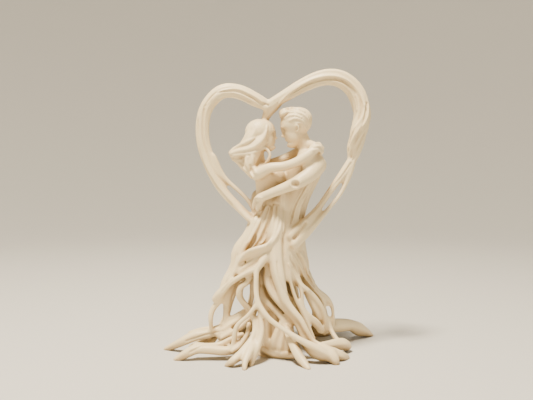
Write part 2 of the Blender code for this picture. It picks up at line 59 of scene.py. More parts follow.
# The design grid, in squares: its height, the eye, the picture's middle and width
SQUARES_HIGH = 282
EYE_BACK = 750
EYE_UP = 200
AIM_UP = 150
PICTURE_WIDE = 533
MIDDLE_LEFT = 3.5
SQUARE = HEIGHT / SQUARES_HIGH

# The piece's triangles, and where they are thinned least: between two levels, this far to each side
TRIANGLES = 190000
HEADS_LOW, HEADS_HIGH = 200, 240
HEADS_WIDE = 46
HEADS_THINNED = 0.35
THIN_FACTOR = 0.003

# The floor is a wide dish, in metres: how far it is flat, the radius of its curve and the rim's height
DISH_FLAT = 0.6
DISH_ROUND = 0.7
DISH_HIGH = 2.4
DISH_STEPS = 12
DISH_SIDES = 96

# The resin's tones come in clouds and its surface has a grain, in mm across
CLOUD_MM = 8.33
GRAIN_MM = 0.667

# The camera's sensor, in mm, and the lamps, in metres: name, place, size, watts and colour
SENSOR = 36
LAMPS = (
    ("key", (-0.17, -0.26, 0.94), 0.16, 29, "FFF1D8"),
    ("fill", (0.6, -0.5, 0.45), 0.4, 0.6, "D5DFF5"),
    ("back", (0.15, 0.4, 0.7), 0.5, 0.6, "FFF8EE"),
)
LAMPS_AIM = Vector((0, 0, 0.09))
ROOM_COLOUR = "BFBDB8"
ROOM_LIGHT = 0.04

# How a strand is made: steps from row to row, sides of its ring, least half thickness, a band's flatness
STEPS = 5
RING_SIDES = 40
TRIM_SIDES = 16
THINNEST = 0.3
BAND_FLATNESS = 0.65

# A strand's round tip: how far beyond its end in parts of its half thickness, and how thick there
TIP = ((0.55, 0.82), (0.9, 0.45))

# The ribs along each kind of strand: how many, and how deep in parts of its half thickness
BAND_RIBS = (9, 0.09)
ROOT_RIBS = (5, 0.05)
LIMB_RIBS = (3, 0)
LOCK_RIBS = (7, 0.07)

# Stands for y where a strand's end lies on the floor: its depth then follows from its height as drawn
ON_FLOOR = None

# The heart's two ribbed bands: x, z, y, half width as seen, and the turn of the band in degrees
HEART_LEFT = (
    (-18, 130, -4, 4.2, 70), (-30, 141.5, 0, 4.1, 65), (-46, 158.5, 0, 4.6, 60), (-57.5, 180, 0, 6.3, 40),
    (-67, 210, 0, 6.8, 10), (-65, 239, 0, 7, -5), (-50, 257.5, 0, 7.3, -15), (-32, 258.5, 1, 7.5, -10),
    (-13, 249.5, 1, 7, 0), (0, 243, 1, 5, 10),
)
HEART_RIGHT = (
    (-4, 243, 0, 5, 0), (13, 253, 0, 6, 0), (32, 264, 0, 7, 5), (52, 272, 0, 8, 10),
    (70, 271, 0, 8.7, 15), (85, 258.5, 0, 8.7, 30), (92, 237, 0, 8.1, 65), (88.5, 217, 0, 8.3, 110),
    (84.5, 201, 0, 7.9, 150), (82.7, 193, 0, 5.6, 175), (81, 187, 0, 4.2, 190),
)
HEART_STRANDS = (
    ((12, 252, 1, 4.5), (3, 243.5, 3, 5.8), (-1.5, 238, 4, 5.2), (-4.8, 231, 5, 4), (-6.5, 223, 5, 3.8)),
    ((-15, 138, 0, 2.4), (-22, 149.5, 1, 2.2), (-31, 159, 1, 2.2), (-46, 173, 1, 2.6), (-57, 194, 0, 3)),
    ((82, 191, 0, 4), (74, 178, -2, 4.2), (61, 160, -5, 3.4), (48, 141.5, -9, 3.5), (34, 126, -15, 5),
     (20, 114, -18, 4.5)),
    ((84, 192, 0, 3.2), (80, 177, -2, 3), (71.5, 158, -4, 2.3), (60.5, 143.5, -8, 2.3),
     (49, 130.5, -12, 3.2), (36, 117.5, -15, 5.2), (24, 106, -18, 5.5)),
)

# The couple: rings of x, z, half width and half depth, from the neck down
WOMAN_BODY = (
    (-11, 191, 5.5, 6), (-9, 185, 8, 11), (-5, 180, 12, 17), (-1, 173, 14.5, 16), (-2, 164, 12.5, 13),
    (-2, 154, 11.5, 11.5), (0, 140, 13, 14), (-4.5, 123, 17, 17), (-9, 111, 21, 19), (-12, 100, 23, 20),
    (-13, 91, 18, 17), (-12, 83, 9, 10),
)
MAN_BODY = (
    (36, 201, 8, 8), (38, 195, 11, 17), (38.5, 190, 15, 23), (35, 181, 19.5, 21), (31.5, 170, 17, 18),
    (27.5, 158, 15, 16), (24, 145, 13, 14.5), (22, 130, 12, 14), (22, 110, 13, 15), (25, 96, 12.5, 15),
    (30, 85, 9.5, 13), (33, 75, 6, 9),
)
ARMS = (
    # her near arm, round his shoulder, and her hand
    ((-12, 176, -15, 7), (0, 182, -21, 5.3), (14, 183.8, -24, 4.8), (27, 188, -27, 5.1),
     (37, 194.5, -27, 5.2), (46, 202, -24, 4.7)),
    ((44, 202, -23, 5), (49, 203, -18, 4.2), (51.5, 198.5, -20, 3)),
    # her far arm
    ((-6, 183, 15, 6), (13, 190, 17, 5.5), (27, 197, 15, 5.5), (36, 203, 10, 6)),
    # his near arm, from the shoulder to her waist, and his hand
    ((45, 195, -14, 6), (46.8, 186, -18, 8.5), (40, 176, -25, 8), (28, 168, -30, 6.8),
     (19, 164, -28, 5.8), (8, 159.5, -25, 5.2), (-3, 155, -21, 4.8), (-10, 152, -17, 4.8)),
    ((-9, 152, -15, 4.5), (-14, 147.5, -11, 3.6), (-16, 142.5, -8, 2.6)),
    ((-8, 150, -17, 3), (-10, 145, -15, 2.6), (-12, 141, -13, 2.2)),
    # his sleeve, full where it comes from under her arm
    ((47, 192, -18.5, 4.5), (41, 187.5, -23.5, 4.5), (35.5, 182, -25.5, 3.6)),
    # his far arm and hand, seen past her back
    ((48, 185, 18, 9), (36, 168, 28, 6.5), (14, 158, 26, 5.5), (-6, 154, 16, 5), (-14, 155, 6, 4),
     (-15, 148, 2, 3.5)),
    # necks
    ((-9, 206, 0, 5.5), (-11, 197, 0, 5.3), (-11, 187, 0, 7)),
    ((31, 214, 0, 7.2), (34, 206, 0, 7.5), (38, 196, 0, 9)),
    # his shoulder under her hand
    ((34, 207.5, 1, 5.5), (41, 204.5, -5, 5.2), (47, 202.5, -12, 4.8)),
    # her bust
    ((7, 174, -8, 7.5), (9, 173, -7, 7.5)),
    ((7, 174, 8, 7.5), (9, 173, 7, 7.5)),
)

# Her hair, swept back from the face into a point and down to her shoulder blades
HAIR = (
    ((-13, 220, -3, 9), (-19, 210, -5, 8.5), (-28, 202, -5, 5)),
    ((-16.5, 222, 0, 6.7), (-18.5, 213, -2, 7.2), (-25, 204.5, -3, 5.4), (-33.5, 199, -3, 4.4),
     (-38.5, 196, -3, 3)),
    ((-4, 225, -6.5, 2.2), (-5.5, 216, -9.5, 3), (-12, 208, -11.5, 3.6), (-23, 201.5, -10, 3.8),
     (-37, 197, -5, 3)),
    ((-5, 209, -8, 3), (-12, 203, -11, 3), (-21, 198.5, -11, 3.3), (-35, 195, -6, 3)),
    ((-8, 217, -4, 6), (-10, 208, -5.5, 6), (-16, 201, -6, 6)),
    ((-34, 193, -2, 3.2), (-27, 188.5, -3, 4.8), (-20, 183.5, -4, 5.5)),
    ((-35, 195, 1, 3), (-28, 192, 4, 4.6), (-20, 189, 6, 5.5)),
    ((-37.5, 194, -1, 3), (-31, 190.3, 1, 4.8), (-24, 184, 2, 5.6), (-17, 177, 0, 5)),
    ((-11, 206, -4, 6.5), (-17, 194, -8, 7), (-20, 184, -10, 6), (-18, 176, -8, 4)),
    ((-11, 206, 6, 6.5), (-18, 193, 6, 7), (-21, 183, 6, 6), (-17, 175, 5, 4.5)),
    ((-6, 202.5, -9, 2), (-2.5, 200, -10, 1.9), (0, 195.5, -11, 1.8), (-1.5, 190.5, -11, 1.9),
     (-4.5, 186, -10, 2)),
)

# The skirts and roots
ROOTS = (
    # the dress's left edge, down to the knee
    ((-16, 130, -2, 5.5), (-19, 120, -3, 5.5), (-23.5, 112, -4, 5.5), (-30, 103, -5, 5.8),
     (-33.2, 95, -5, 5.8), (-34, 87, -6, 5.5), (-37, 78, -6, 6), (-42, 68, -8, 6.3), (-46, 58, -10, 5.6)),
    ((-12, 128, -10, 6), (-21, 110, -14, 6), (-28, 97, -15, 5), (-32, 84, -16, 4.5), (-39, 70, -16, 4.5)),
    # the hem that swirls left across the lap, and the strand below it that ends in the knee
    ((12, 148, -10, 2.5), (12.5, 128, -17, 3), (9, 113, -22, 3.4), (0, 104, -25, 3.8),
     (-11, 99, -25, 3.6), (-23, 94, -22, 3.2), (-33, 86, -17, 2.6)),
    ((4, 100, -24, 4), (-6, 90, -27, 4), (-12, 83, -28, 3.6), (-25, 76, -27, 2.8), (-34, 70.7, -25, 2.9),
     (-42, 64.7, -20, 3.3), (-50, 56, -16, 4.8), (-55, 51, -14, 3.6)),
    # the hem's crest
    ((11.5, 128, -19, 2), (8, 117.5, -24, 2.5), (2.5, 108.5, -27.5, 2.8), (-5, 103.7, -29, 2.8),
     (-14, 101.3, -28.5, 2.6), (-21.5, 98.5, -26.5, 2.4), (-27, 93.5, -23, 2.2), (-31.5, 87, -19, 2)),
    # the pleats inside the hollow between the two
    ((-2, 100, -21, 3.4), (-12, 92.5, -23.5, 3), (-22, 85, -22, 2.8), (-32, 77, -18, 2.8)),
    ((-4, 97, -17, 4), (-12, 88, -20.5, 3.4), (-20, 81.5, -21, 3), (-30, 76, -19, 3)),
    ((0, 94, -20, 3.4), (-7, 89, -22, 3), (-14, 83, -22, 2.6), (-22, 79, -21, 2.4)),
    ((-16, 96, -12, 4.5), (-24, 87, -12, 4.5), (-31, 79, -11, 4)),
    # the middle strand, down to the front right toes, and its left fork
    ((-2, 98, -24, 4.5), (-8, 88, -28, 4), (-13, 80, -30, 3.2), (-13.7, 72, -32, 2.8),
     (-14, 63, -33, 2.8), (-13.5, 55, -35, 2.9), (-12, 48, -37, 3), (-9, 42, -39, 3), (-5, 36, -41, 3),
     (0, 30.5, -42, 2.9), (7, 25, -44, 2.8), (15, 19.5, -46, 2.8), (27, 12, -49, 3.2), (34, 8, -50, 3.6),
     (52, -2, -50, 5), (66, -13, ON_FLOOR, 3.5)),
    ((-14, 45, -37, 2.6), (-18, 39, -37.5, 2.4), (-23, 33.5, -37, 2.3), (-29, 28.5, -37, 2.3),
     (-33, 24, -37, 2.6), (-35, 18, -37, 2.8), (-35.5, 12, -37, 2.8), (-37, 5, -37, 2.6),
     (-39, 0, -37, 2.4)),
    # the front panel of the skirt, and the two strands inside its edge
    ((6, 150, -8, 5), (6, 130, -14, 7), (5, 106, -21, 7.5), (6, 88, -25, 7.3), (8.5, 74, -28, 6.8),
     (12, 60, -30, 5.4), (15, 50, -31, 4.8), (19, 44, -32, 4.1), (24.5, 37, -33, 3.9),
     (30.5, 30, -34, 3.5), (35.5, 20, -35, 3.4), (41, 10, -35, 3.4), (47, 5, -36, 4)),
    ((-3, 84, -21, 3.8), (-3, 70, -23, 3.8), (2, 58, -25, 3.8), (9, 48, -27, 3.6), (18, 38, -29, 3.3),
     (25, 29, -31, 3), (30, 19, -33, 2.8), (34, 9, -36, 3)),
    ((-8, 62, -14, 3.5), (-4, 50, -18, 4), (8, 38, -22, 4.2), (17, 26, -26, 4), (22, 14, -28, 4)),
    ((-7, 64, -11, 4), (-6, 52, -13, 4.2), (-5, 40, -15, 4.4), (-4, 28, -17, 4.6), (-4, 16, -19, 5),
     (-3, 4, -21, 5)),
    ((1, 84, -18, 4), (2, 72, -20, 4), (5, 62, -22, 4)),
    # the cloth between the panel and his side, and what shows inside the gaps
    ((12, 160, -12, 5), (12.5, 150, -11, 5), (13, 138, -9, 5)),
    ((13.5, 132, -10, 4.5), (14, 112, -16, 4.6), (14, 98, -19, 4.6), (14.5, 86, -20, 4),
     (16, 77, -21, 3.5), (18, 70, -22, 2.8)),
    ((14, 140, -4, 6), (15, 120, -6, 8), (16, 100, -8, 7.5), (16, 86, -12, 6), (18, 70, -14, 5.5),
     (23, 56, -15, 4)),
    ((18, 138, -8, 6), (18.5, 115, -12, 7), (21, 94, -13, 6)),
    ((-6, 94, -8, 7), (-8, 80, -9, 6.5), (-7, 67, -12, 4)),
    ((-32, 88, -5, 7), (-28, 77, -6, 7), (-22, 70, -6, 5)),
    ((-34, 80, -7, 6), (-36, 66, -7, 4.6), (-38, 57.5, -6, 3.4)),
    # the curl inside the left gap, and the strands behind it
    ((-18, 76, -24, 3), (-23, 68, -24, 3.3), (-28.5, 64, -24, 3.5), (-30.5, 59, -23, 3.8),
     (-30.5, 54, -22, 3.7), (-28, 49, -21, 3.4), (-24, 44, -20, 3.4), (-20, 39, -19, 3.2),
     (-17, 33, -18, 3.5)),
    ((-16, 84, -14, 3.6), (-17.5, 72, -14, 3), (-18, 60, -13, 2.6), (-18.5, 50, -13, 2.6),
     (-23, 41, -13, 2.8), (-31, 36, -13, 2.6), (-40, 30.4, -12, 2.8), (-47, 26, -11, 3.2)),
    ((-22, 38, -16, 2.6), (-32, 30, -16, 2.6), (-41, 24, -16, 2.8), (-48, 18, -14, 3.6)),
    ((-20, 32, -21, 2.8), (-29, 23, -22, 2.8), (-39, 17, -21, 3), (-47, 12, -19, 3.6)),
    # the left post and its side loop
    ((-38, 70, -10, 6), (-42, 56, -10, 5.4), (-43, 45, -10, 4.2), (-43.5, 38, -10.5, 3.7),
     (-44, 31, -11, 3.3), (-44, 24, -11, 3.5), (-48, 14, -12, 5.6)),
    ((-48, 51, -13, 3), (-53, 46, -13, 3), (-57, 41, -13, 3), (-59, 35, -14, 2.9), (-59.3, 29, -14, 2.6),
     (-59, 23, -13, 2.3), (-58, 18, -12, 3)),
    # the left toes
    ((-35, 26, -6, 4), (-50, 20.5, -8, 5.2), (-62, 16.4, -9, 5), (-75, 14, -9, 5.5), (-88, 8, -8, 4.6),
     (-104, 0.5, ON_FLOOR, 3)),
    ((-52, 21, 1, 4), (-68, 19.5, 3, 3.4), (-80, 17, 5, 2.4)),
    ((-30, 5, -34, 5), (-43, -1, -36, 4.8), (-61, 0.5, -36, 5), (-73, 1, -36, 5.2),
     (-83, -3.5, -37, 4.8), (-94, -10, ON_FLOOR, 3.3)),
    ((-28, 15, -28, 3.2), (-40, 10, -28, 3.2), (-50, 5.5, -29, 3), (-62, 4, -31, 3.2), (-74, 4, -33, 4)),
    # the front left foot
    ((-17, 34, -34, 3), (-15, 26, -36, 3), (-15.5, 18, -40, 3), (-19, 10, -44, 3.2), (-24, 3, -49, 3.8),
     (-30, -5, -55, 4.6), (-37, -11, -60, 4.3), (-43, -16, ON_FLOOR, 3.2)),
    ((-10, 38, -36, 2.8), (-8.5, 28, -38, 3), (-8.5, 18, -41, 3.3), (-11, 8, -45, 3.8),
     (-15, -2, -50, 4.2), (-20, -16, ON_FLOOR, 3)),
    ((-17, 6, -46, 4), (-21, -3, -55, 4.4), (-25, -12, -63, 3.4), (-25.5, -20, ON_FLOOR, 2.5)),
    ((-21, 26, -30, 2.6), (-22, 18, -33, 2.6), (-26, 10, -36, 2.8), (-31, 3, -39, 3), (-37, -1, -42, 3)),
    # the lip of the skirt between the front feet, and the rim inside it
    ((-9, 2, -28, 3), (0, -3.3, -29, 3.2), (10, -5.6, -31, 3.3), (18, -6, -35, 3.3), (25, -5, -42, 3.5)),
    ((-8, -1, -24, 3.2), (2, -3.5, -26, 3.2), (10, -3.5, -27, 3.2), (17, -2.5, -27, 3.2),
     (23, 1, -27, 3.4)),
    # the cloth that flares inside the lip
    ((16, 33, -24, 3.6), (8.5, 19, -26, 4.4), (3, 4, -27, 4.4)),
    ((18, 31, -25, 3.6), (14, 17, -27, 4.4), (10.5, 2, -28, 4.4)),
    ((21, 29, -26, 3.6), (19, 15, -28, 4.4), (18, 2, -28, 4.4)),
    # the front right foot and its toes
    ((16, 22, -33, 3.6), (21, 10, -41, 4.6), (27.5, -4, -51, 5), (33, -12, -57, 4.6),
     (38.5, -19, ON_FLOOR, 3)),
    ((34, 6, -44, 3.2), (42, -1, -47, 5.4), (52, -4, -47, 7), (60, -3.5, -45, 7)),
    ((52, 4, -34, 4.4), (60, 5, -25, 5), (66, 6, -18, 5.6), (72, 6, -12, 6), (77, 4, -6, 5)),
    ((54, -1, -42, 6), (62, -3, -40, 6.2), (70, -6, -37, 5.6), (76, -8, ON_FLOOR, 4.4)),
    ((58, -4, -47, 6), (62, -6, -48, 6), (65, -10.5, -50, 5), (66.5, -14.5, ON_FLOOR, 3.4)),
    ((48, 4.5, -36, 4.2), (57, -1, -41, 6)),
    # his side, down to the right knee
    ((24, 100, -6, 7), (30.5, 88, -4, 8), (33, 76, 0, 6.5), (38, 66, 3, 5.5), (47, 57, 6, 5),
     (56, 51, 9, 4), (61.7, 44, 10, 2.3), (63, 36, 10, 1.9), (62.7, 28, 11, 2.5), (59, 20, 16, 4)),
    ((40, 64, 2, 5), (48, 56, 4, 4), (53, 47, 4, 3), (54, 37, 4, 2.7), (56, 27, 6, 4), (54, 20, 12, 5)),
    ((54, 44.5, 5, 1), (61, 44.5, 9, 1)),
    ((21, 97, -14, 3.8), (24, 82, -14, 3.6), (30, 66, -12, 3.3), (36, 60.5, -11, 3.2), (42, 55, -9, 3.2),
     (48, 47.5, -7, 3.2), (52, 40, -5, 3.2), (54, 31, -2, 3.6), (54, 22, 2, 5)),
    ((18, 90, -18, 4), (21, 78, -18, 3.6), (25, 71, -17, 3), (31, 65, -16, 2.8), (38, 59, -13, 3)),
    ((34, 62, -8, 3), (39.5, 51, -8, 3.2), (44, 42, -7, 3.4), (48, 33, -4, 4)),
    ((17, 96, -19, 3.4), (18, 88, -20, 2.8), (19, 75, -22, 2.4), (21, 65, -22, 2.3), (24, 55, -22, 2.4),
     (27.5, 46, -22, 2.6), (31.5, 38, -21, 3), (36, 28, -21, 3), (40, 18, -21, 3), (43, 10, -22, 3.2)),
    ((28, 68, -17, 2.4), (31.5, 58, -18, 2.2), (32, 48, -18, 2.4), (34, 40, -18, 2.7),
     (40, 33.5, -17, 2.8), (47, 28, -14, 2.8), (51, 20, -8, 4)),
    ((29.5, 50, -18, 2.2), (33, 41, -18, 3), (38, 33, -17, 3.4), (44, 27, -15, 3.2), (50, 22, -10, 4)),
    # the claw at the right
    ((56, 32, 8, 4), (60, 22, 3, 3), (65, 13, -5, 2.6), (70, 7, -8, 3)),
    ((58, 25, 18, 6.5), (68, 25, 27, 6.8), (76, 25.2, 35, 6.2), (81, 24.5, 41, 5.8), (88, 21, 48, 6.8),
     (95, 17.8, 52, 4.8), (102, 14.3, ON_FLOOR, 2.2)),
)

# The hidden inner stems: rings of x, y, z, half width and half depth, in true squares
INNER_TRUNK = (
    (6, -10, -3, 21, 21), (6, -10, 5, 18, 18), (7, -10, 13, 12, 13), (7, -11, 26, 8.5, 8),
    (7, -11, 44, 9, 8), (5, -10, 66, 11, 9), (0, -4, 90, 13, 13),
)
RIGHT_TRUNK = (
    (54, 66, -3, 13, 13), (54, 61, 9, 10, 10), (53, 44, 22, 9, 9), (50, 24, 38, 8, 8), (42, 8, 58, 7, 8),
    (33, 2, 80, 7, 9),
)

# The back roots: level, distance out, half thickness; then each one's bearing, reach and stoutness
BACK_ROOT = (
    (126, 9, 6), (108, 15, 5.5), (90, 24, 4.8), (70, 35, 4.2), (46, 44, 3.9), (22, 52, 5), (9, 66, 5),
    (0, 84, 3),
)
BACK_ROOTS = (
    (66, 1.0, 1.0), (77, 0.9, 1.0), (89, 1.02, 1.0), (101, 0.93, 1.0), (118, 1.0, 0.9), (138, 0.78, 0.8),
    (172, 0.95, 0.8),
)
BACK_MIDDLE = 2
BACK_WIDER = 1.05
BACK_SEED = 5

# How far a back root swings round as it falls, sways and forks off, in degrees
BACK_SWIRL = -11
BACK_SWAY = 2
TOE_TURN = 14

# A back root's second toe: distance out, level and half thickness
TOE = ((68, 6, 4), (80, 0, 2.6))

# Folds of cloth: half thickness, place in parts of the body's half size, how far out, share at the ends
FOLD = 2.4
FOLD_SHARE = 0.93
FOLD_OUT = 0.6
FOLD_END = 0.6

# The rings of each body that the folds run down, their bearings and their turn on the way, in degrees
FOLDED = (
    (WOMAN_BODY[5:11], (95, 120, 150, 185, 215, 240, 262), -12),
    (MAN_BODY[4:10], (-80, -58, -35, -10, 20, 50, 80), 10),
)

# A head, in parts of its height: forward, to its left, and up from the chin
HEAD_FORMS = (
    # centre, then half sizes
    ((-0.04, 0, 0.64), (0.42, 0.325, 0.36)),
    ((0.07, 0, 0.36), (0.27, 0.245, 0.35)),
    ((0.175, 0, 0.125), (0.15, 0.155, 0.115)),
)
HEAD_MIDDLE = Vector((0.05, 0, 0.45))
HEAD_SIDES = (144, 110)
BALL_SIDES = (48, 32)

# How sharply the head's forms meet, where the face begins, and how far on it has its full depth
BLEND = 14
FACE_FROM = 0.1
FACE_DEEP = 0.12

# The heads: middle x, z, y, height, facing and nod; the caps of hair: middle, half sizes and tilt
WOMAN_HEAD = ((-7, 214.5, 0), 33, 0, -6)
MAN_HEAD = ((26, 222, 0), 38, 180, 14)
WOMAN_CAP = ((-11, 218.3, 0), (13.9, 12.5, 12.7), -6)
MAN_CAP = ((26.5, 230, 0), (15.8, 13, 12.8), -14)
MAN_QUIFF = ((15, 236.6, 0), (6, 9, 5.2), 8)
FACE = (
    # off the middle, height, how far out, width, tallness
    (0.10, 0.600, 0.026, 0.085, 0.030),
    (0.115, 0.525, -0.058, 0.060, 0.045),
    (0.112, 0.508, 0.046, 0.040, 0.030),
    (0.112, 0.482, -0.016, 0.045, 0.012),
    (0, 0.520, 0.040, 0.032, 0.075),
    (0, 0.430, 0.050, 0.034, 0.060),
    (0, 0.372, 0.080, 0.036, 0.036),
    (0.045, 0.360, 0.030, 0.024, 0.024),
    (0, 0.272, 0.036, 0.060, 0.020),
    (0, 0.250, -0.026, 0.065, 0.010),
    (0, 0.226, 0.034, 0.050, 0.018),
    (0, 0.178, -0.022, 0.060, 0.022),
    (0, 0.090, 0.022, 0.060, 0.045),
    (0.160, 0.420, 0.016, 0.060, 0.050),
)

# The rim of his ear, as a run in the same parts: forward, to the side and up; and its half thickness
EAR = (
    (0.030, 0.300, 0.530), (-0.005, 0.330, 0.560), (-0.045, 0.340, 0.540), (-0.058, 0.335, 0.495),
    (-0.038, 0.322, 0.445), (-0.008, 0.308, 0.410), (0.010, 0.298, 0.415),
)
EAR_RIM = 0.75

# Strands let into the skin, as the front shows them, and behind it too: x, z and half thickness
LAID_LOCKS = (
    # her hair: a long lock swept back from the temple, and the ones beside and below it
    ((-3, 224, 1.2), (-4.5, 217, 1.8), (-8, 210, 2.2), (-15, 203.8, 2.4), (-23, 200.6, 2.4),
     (-32, 198.8, 2.2), (-39.5, 196, 1.6)),
    ((-16, 212, 1.6), (-23, 208, 2.2), (-30, 204.3, 2.2), (-36, 200.8, 2), (-40, 197.5, 1.4)),
    ((-2, 205, 1.4), (-11, 199.5, 1.8), (-21, 196.5, 1.9), (-31, 195.5, 1.8), (-38.5, 194, 1.4)),
    ((-22, 192.5, 1.7), (-29, 190.5, 1.7), (-36, 190.5, 1.5)),
    # and where it falls to her back
    ((-37, 191, 1.7), (-30, 186.5, 1.8), (-24, 180, 1.8), (-18, 173, 1.6)),
    ((-23, 194, 1.5), (-23.5, 187, 1.8), (-20, 179, 1.8), (-15, 171, 1.6)),
    ((-18, 196, 1.5), (-17, 187, 1.7), (-14, 177, 1.6)),
    # his hair: short waves brushed up from the brow and back over the ear
    ((10.5, 232.5, 1.4), (12.5, 236, 1.6), (17.5, 238, 1.6), (23, 237.5, 1.4)),
    ((15, 231.5, 1.2), (19.5, 234.3, 1.4), (26, 234.5, 1.4), (31, 232.5, 1.2)),
    ((20, 229.5, 1.2), (25, 231.5, 1.3), (31, 230, 1.3), (35, 226, 1.1)),
    ((26, 226.5, 1.1), (30.5, 227, 1.2), (34.5, 224, 1.2), (36.5, 220, 1)),
    ((13, 240.3, 1.2), (20, 241.8, 1.4), (28, 241, 1.4), (34.5, 238, 1.2)),
    ((27, 237.5, 1.2), (33, 235.5, 1.3), (37.5, 231, 1.2), (39, 226, 1)),
    # fingers: her near hand, then his
    ((44, 206, 1.3), (49, 206.8, 1.3), (51.6, 203.6, 1.3)),
    ((44, 202.9, 1.3), (49, 203.6, 1.3), (51.9, 200.4, 1.3)),
    ((43, 199.8, 1.3), (48, 200.3, 1.3), (51, 197.4, 1.3)),
    ((-8, 156, 1.5), (-14, 157.5, 1.5), (-17.2, 154, 1.5), (-17.5, 148, 1.5)),
    ((-8, 152, 1.5), (-13.5, 152.5, 1.5), (-15.7, 148, 1.5), (-15.8, 142, 1.5)),
    ((-8, 148, 1.5), (-11.7, 147, 1.5), (-13, 142, 1.5), (-12, 139, 1.5)),
)

# How far locks and the knot are let into the skin, in parts of their half thickness
LOCK_SINK = 0.35
KNOT_SINK = 0.25

# The knot on his sleeve: middle x and z, the ring's reach and half thickness, its height for its width
KNOT = (25.5, 166, 4.8, 1.6)
KNOT_TALL = 0.9

# The degrees from point to point of its ring
KNOT_TURN = 30

# The hollow in the knot: half its length, and its half width in parts of the ring's reach
KNOT_HOLLOW = (0.4, 0.85)

# Grooves of hair: the cap, the crown's direction, how many, start and end in degrees, wave and half width
HAIR_GROOVES = (
    (WOMAN_CAP, (-0.2, 0, 1), 22, (25, 120), 0.5, 0.5),
    (MAN_CAP, (0.25, 0, 1), 26, (20, 105), 0.7, 0.6),
)
HAIR_STEPS = 12

# In squares, how far the skin may jump along a laid line, and how near its cap a groove of hair stays
JUMP = 6
NEAR_CAP = 1.5

# How tall or deep the lines worked into the skin are, in parts of their half width
RIDGE_HEIGHT = 0.55
GROOVE_DEPTH = 0.55
HOLLOW_DEPTH = 0.8

# Their rows, as the front shows them: x, z and half width. Ridges and grooves are laid on the back too.
RIDGES = (
    # cloth that falls from her waist
    ((-8, 143, 1.9), (-14, 133, 1.9), (-21, 121, 1.9), (-27, 109, 1.9), (-32, 97, 1.9)),
    ((-4, 143, 1.9), (-9, 131, 1.9), (-15, 119, 1.9), (-21, 108, 1.9)),
    ((0, 143, 2), (-3, 131, 2), (-8, 119, 2), (-13, 109, 2), (-20, 101, 2)),
    ((4, 144, 1.8), (3, 132, 1.8), (-1, 120, 1.8), (-6, 110, 1.8), (-13, 101, 1.8)),
    ((8, 144, 1.8), (8, 132, 1.8), (6, 121, 1.8), (2, 112, 1.8), (-4, 104, 1.8)),
    # his shirt, drawn across the ribs
    ((49, 172, 1.8), (43, 160, 1.8), (37, 147, 1.8), (33, 133, 1.8)),
    ((44, 169, 1.7), (37, 157, 1.7), (31, 145, 1.7), (28, 131, 1.7)),
    ((38, 165, 1.6), (31.5, 154, 1.6), (26, 142, 1.6), (23, 129, 1.6)),
    ((32, 160, 1.5), (26.5, 150, 1.5), (21.5, 138, 1.5), (19, 126, 1.5)),
    # his side, from the hip to the knee
    ((24, 93, 1.7), (30, 83, 1.8), (35, 72, 1.8), (44, 61.5, 1.6)),
    ((30, 97, 1.8), (35.5, 87.5, 1.9), (38, 76, 1.8), (47, 63, 1.6)),
    ((18.5, 86, 1.5), (23.5, 76, 1.6), (29.5, 66, 1.6), (37, 59, 1.4)),
    # the left band
    ((-64, 245, 1.6), (-68, 215, 1.6), (-63, 192, 1.6), (-53, 173, 1.6), (-40, 157, 1.6),
     (-27, 142, 1.6)),
    ((-63, 246, 1.6), (-51, 258, 1.6), (-34, 261, 1.6), (-18, 255, 1.6), (-6, 247, 1.6)),
    # the right band
    ((9, 247, 1.8), (21, 258, 1.8), (41, 270, 1.8), (61, 274, 1.8), (77, 270, 1.8), (89, 258, 1.8),
     (95, 244, 1.8)),
    ((21, 252, 1.6), (41, 262.5, 1.6), (61, 268, 1.6), (74, 265, 1.6), (84, 253, 1.6), (87, 240, 1.6)),
)
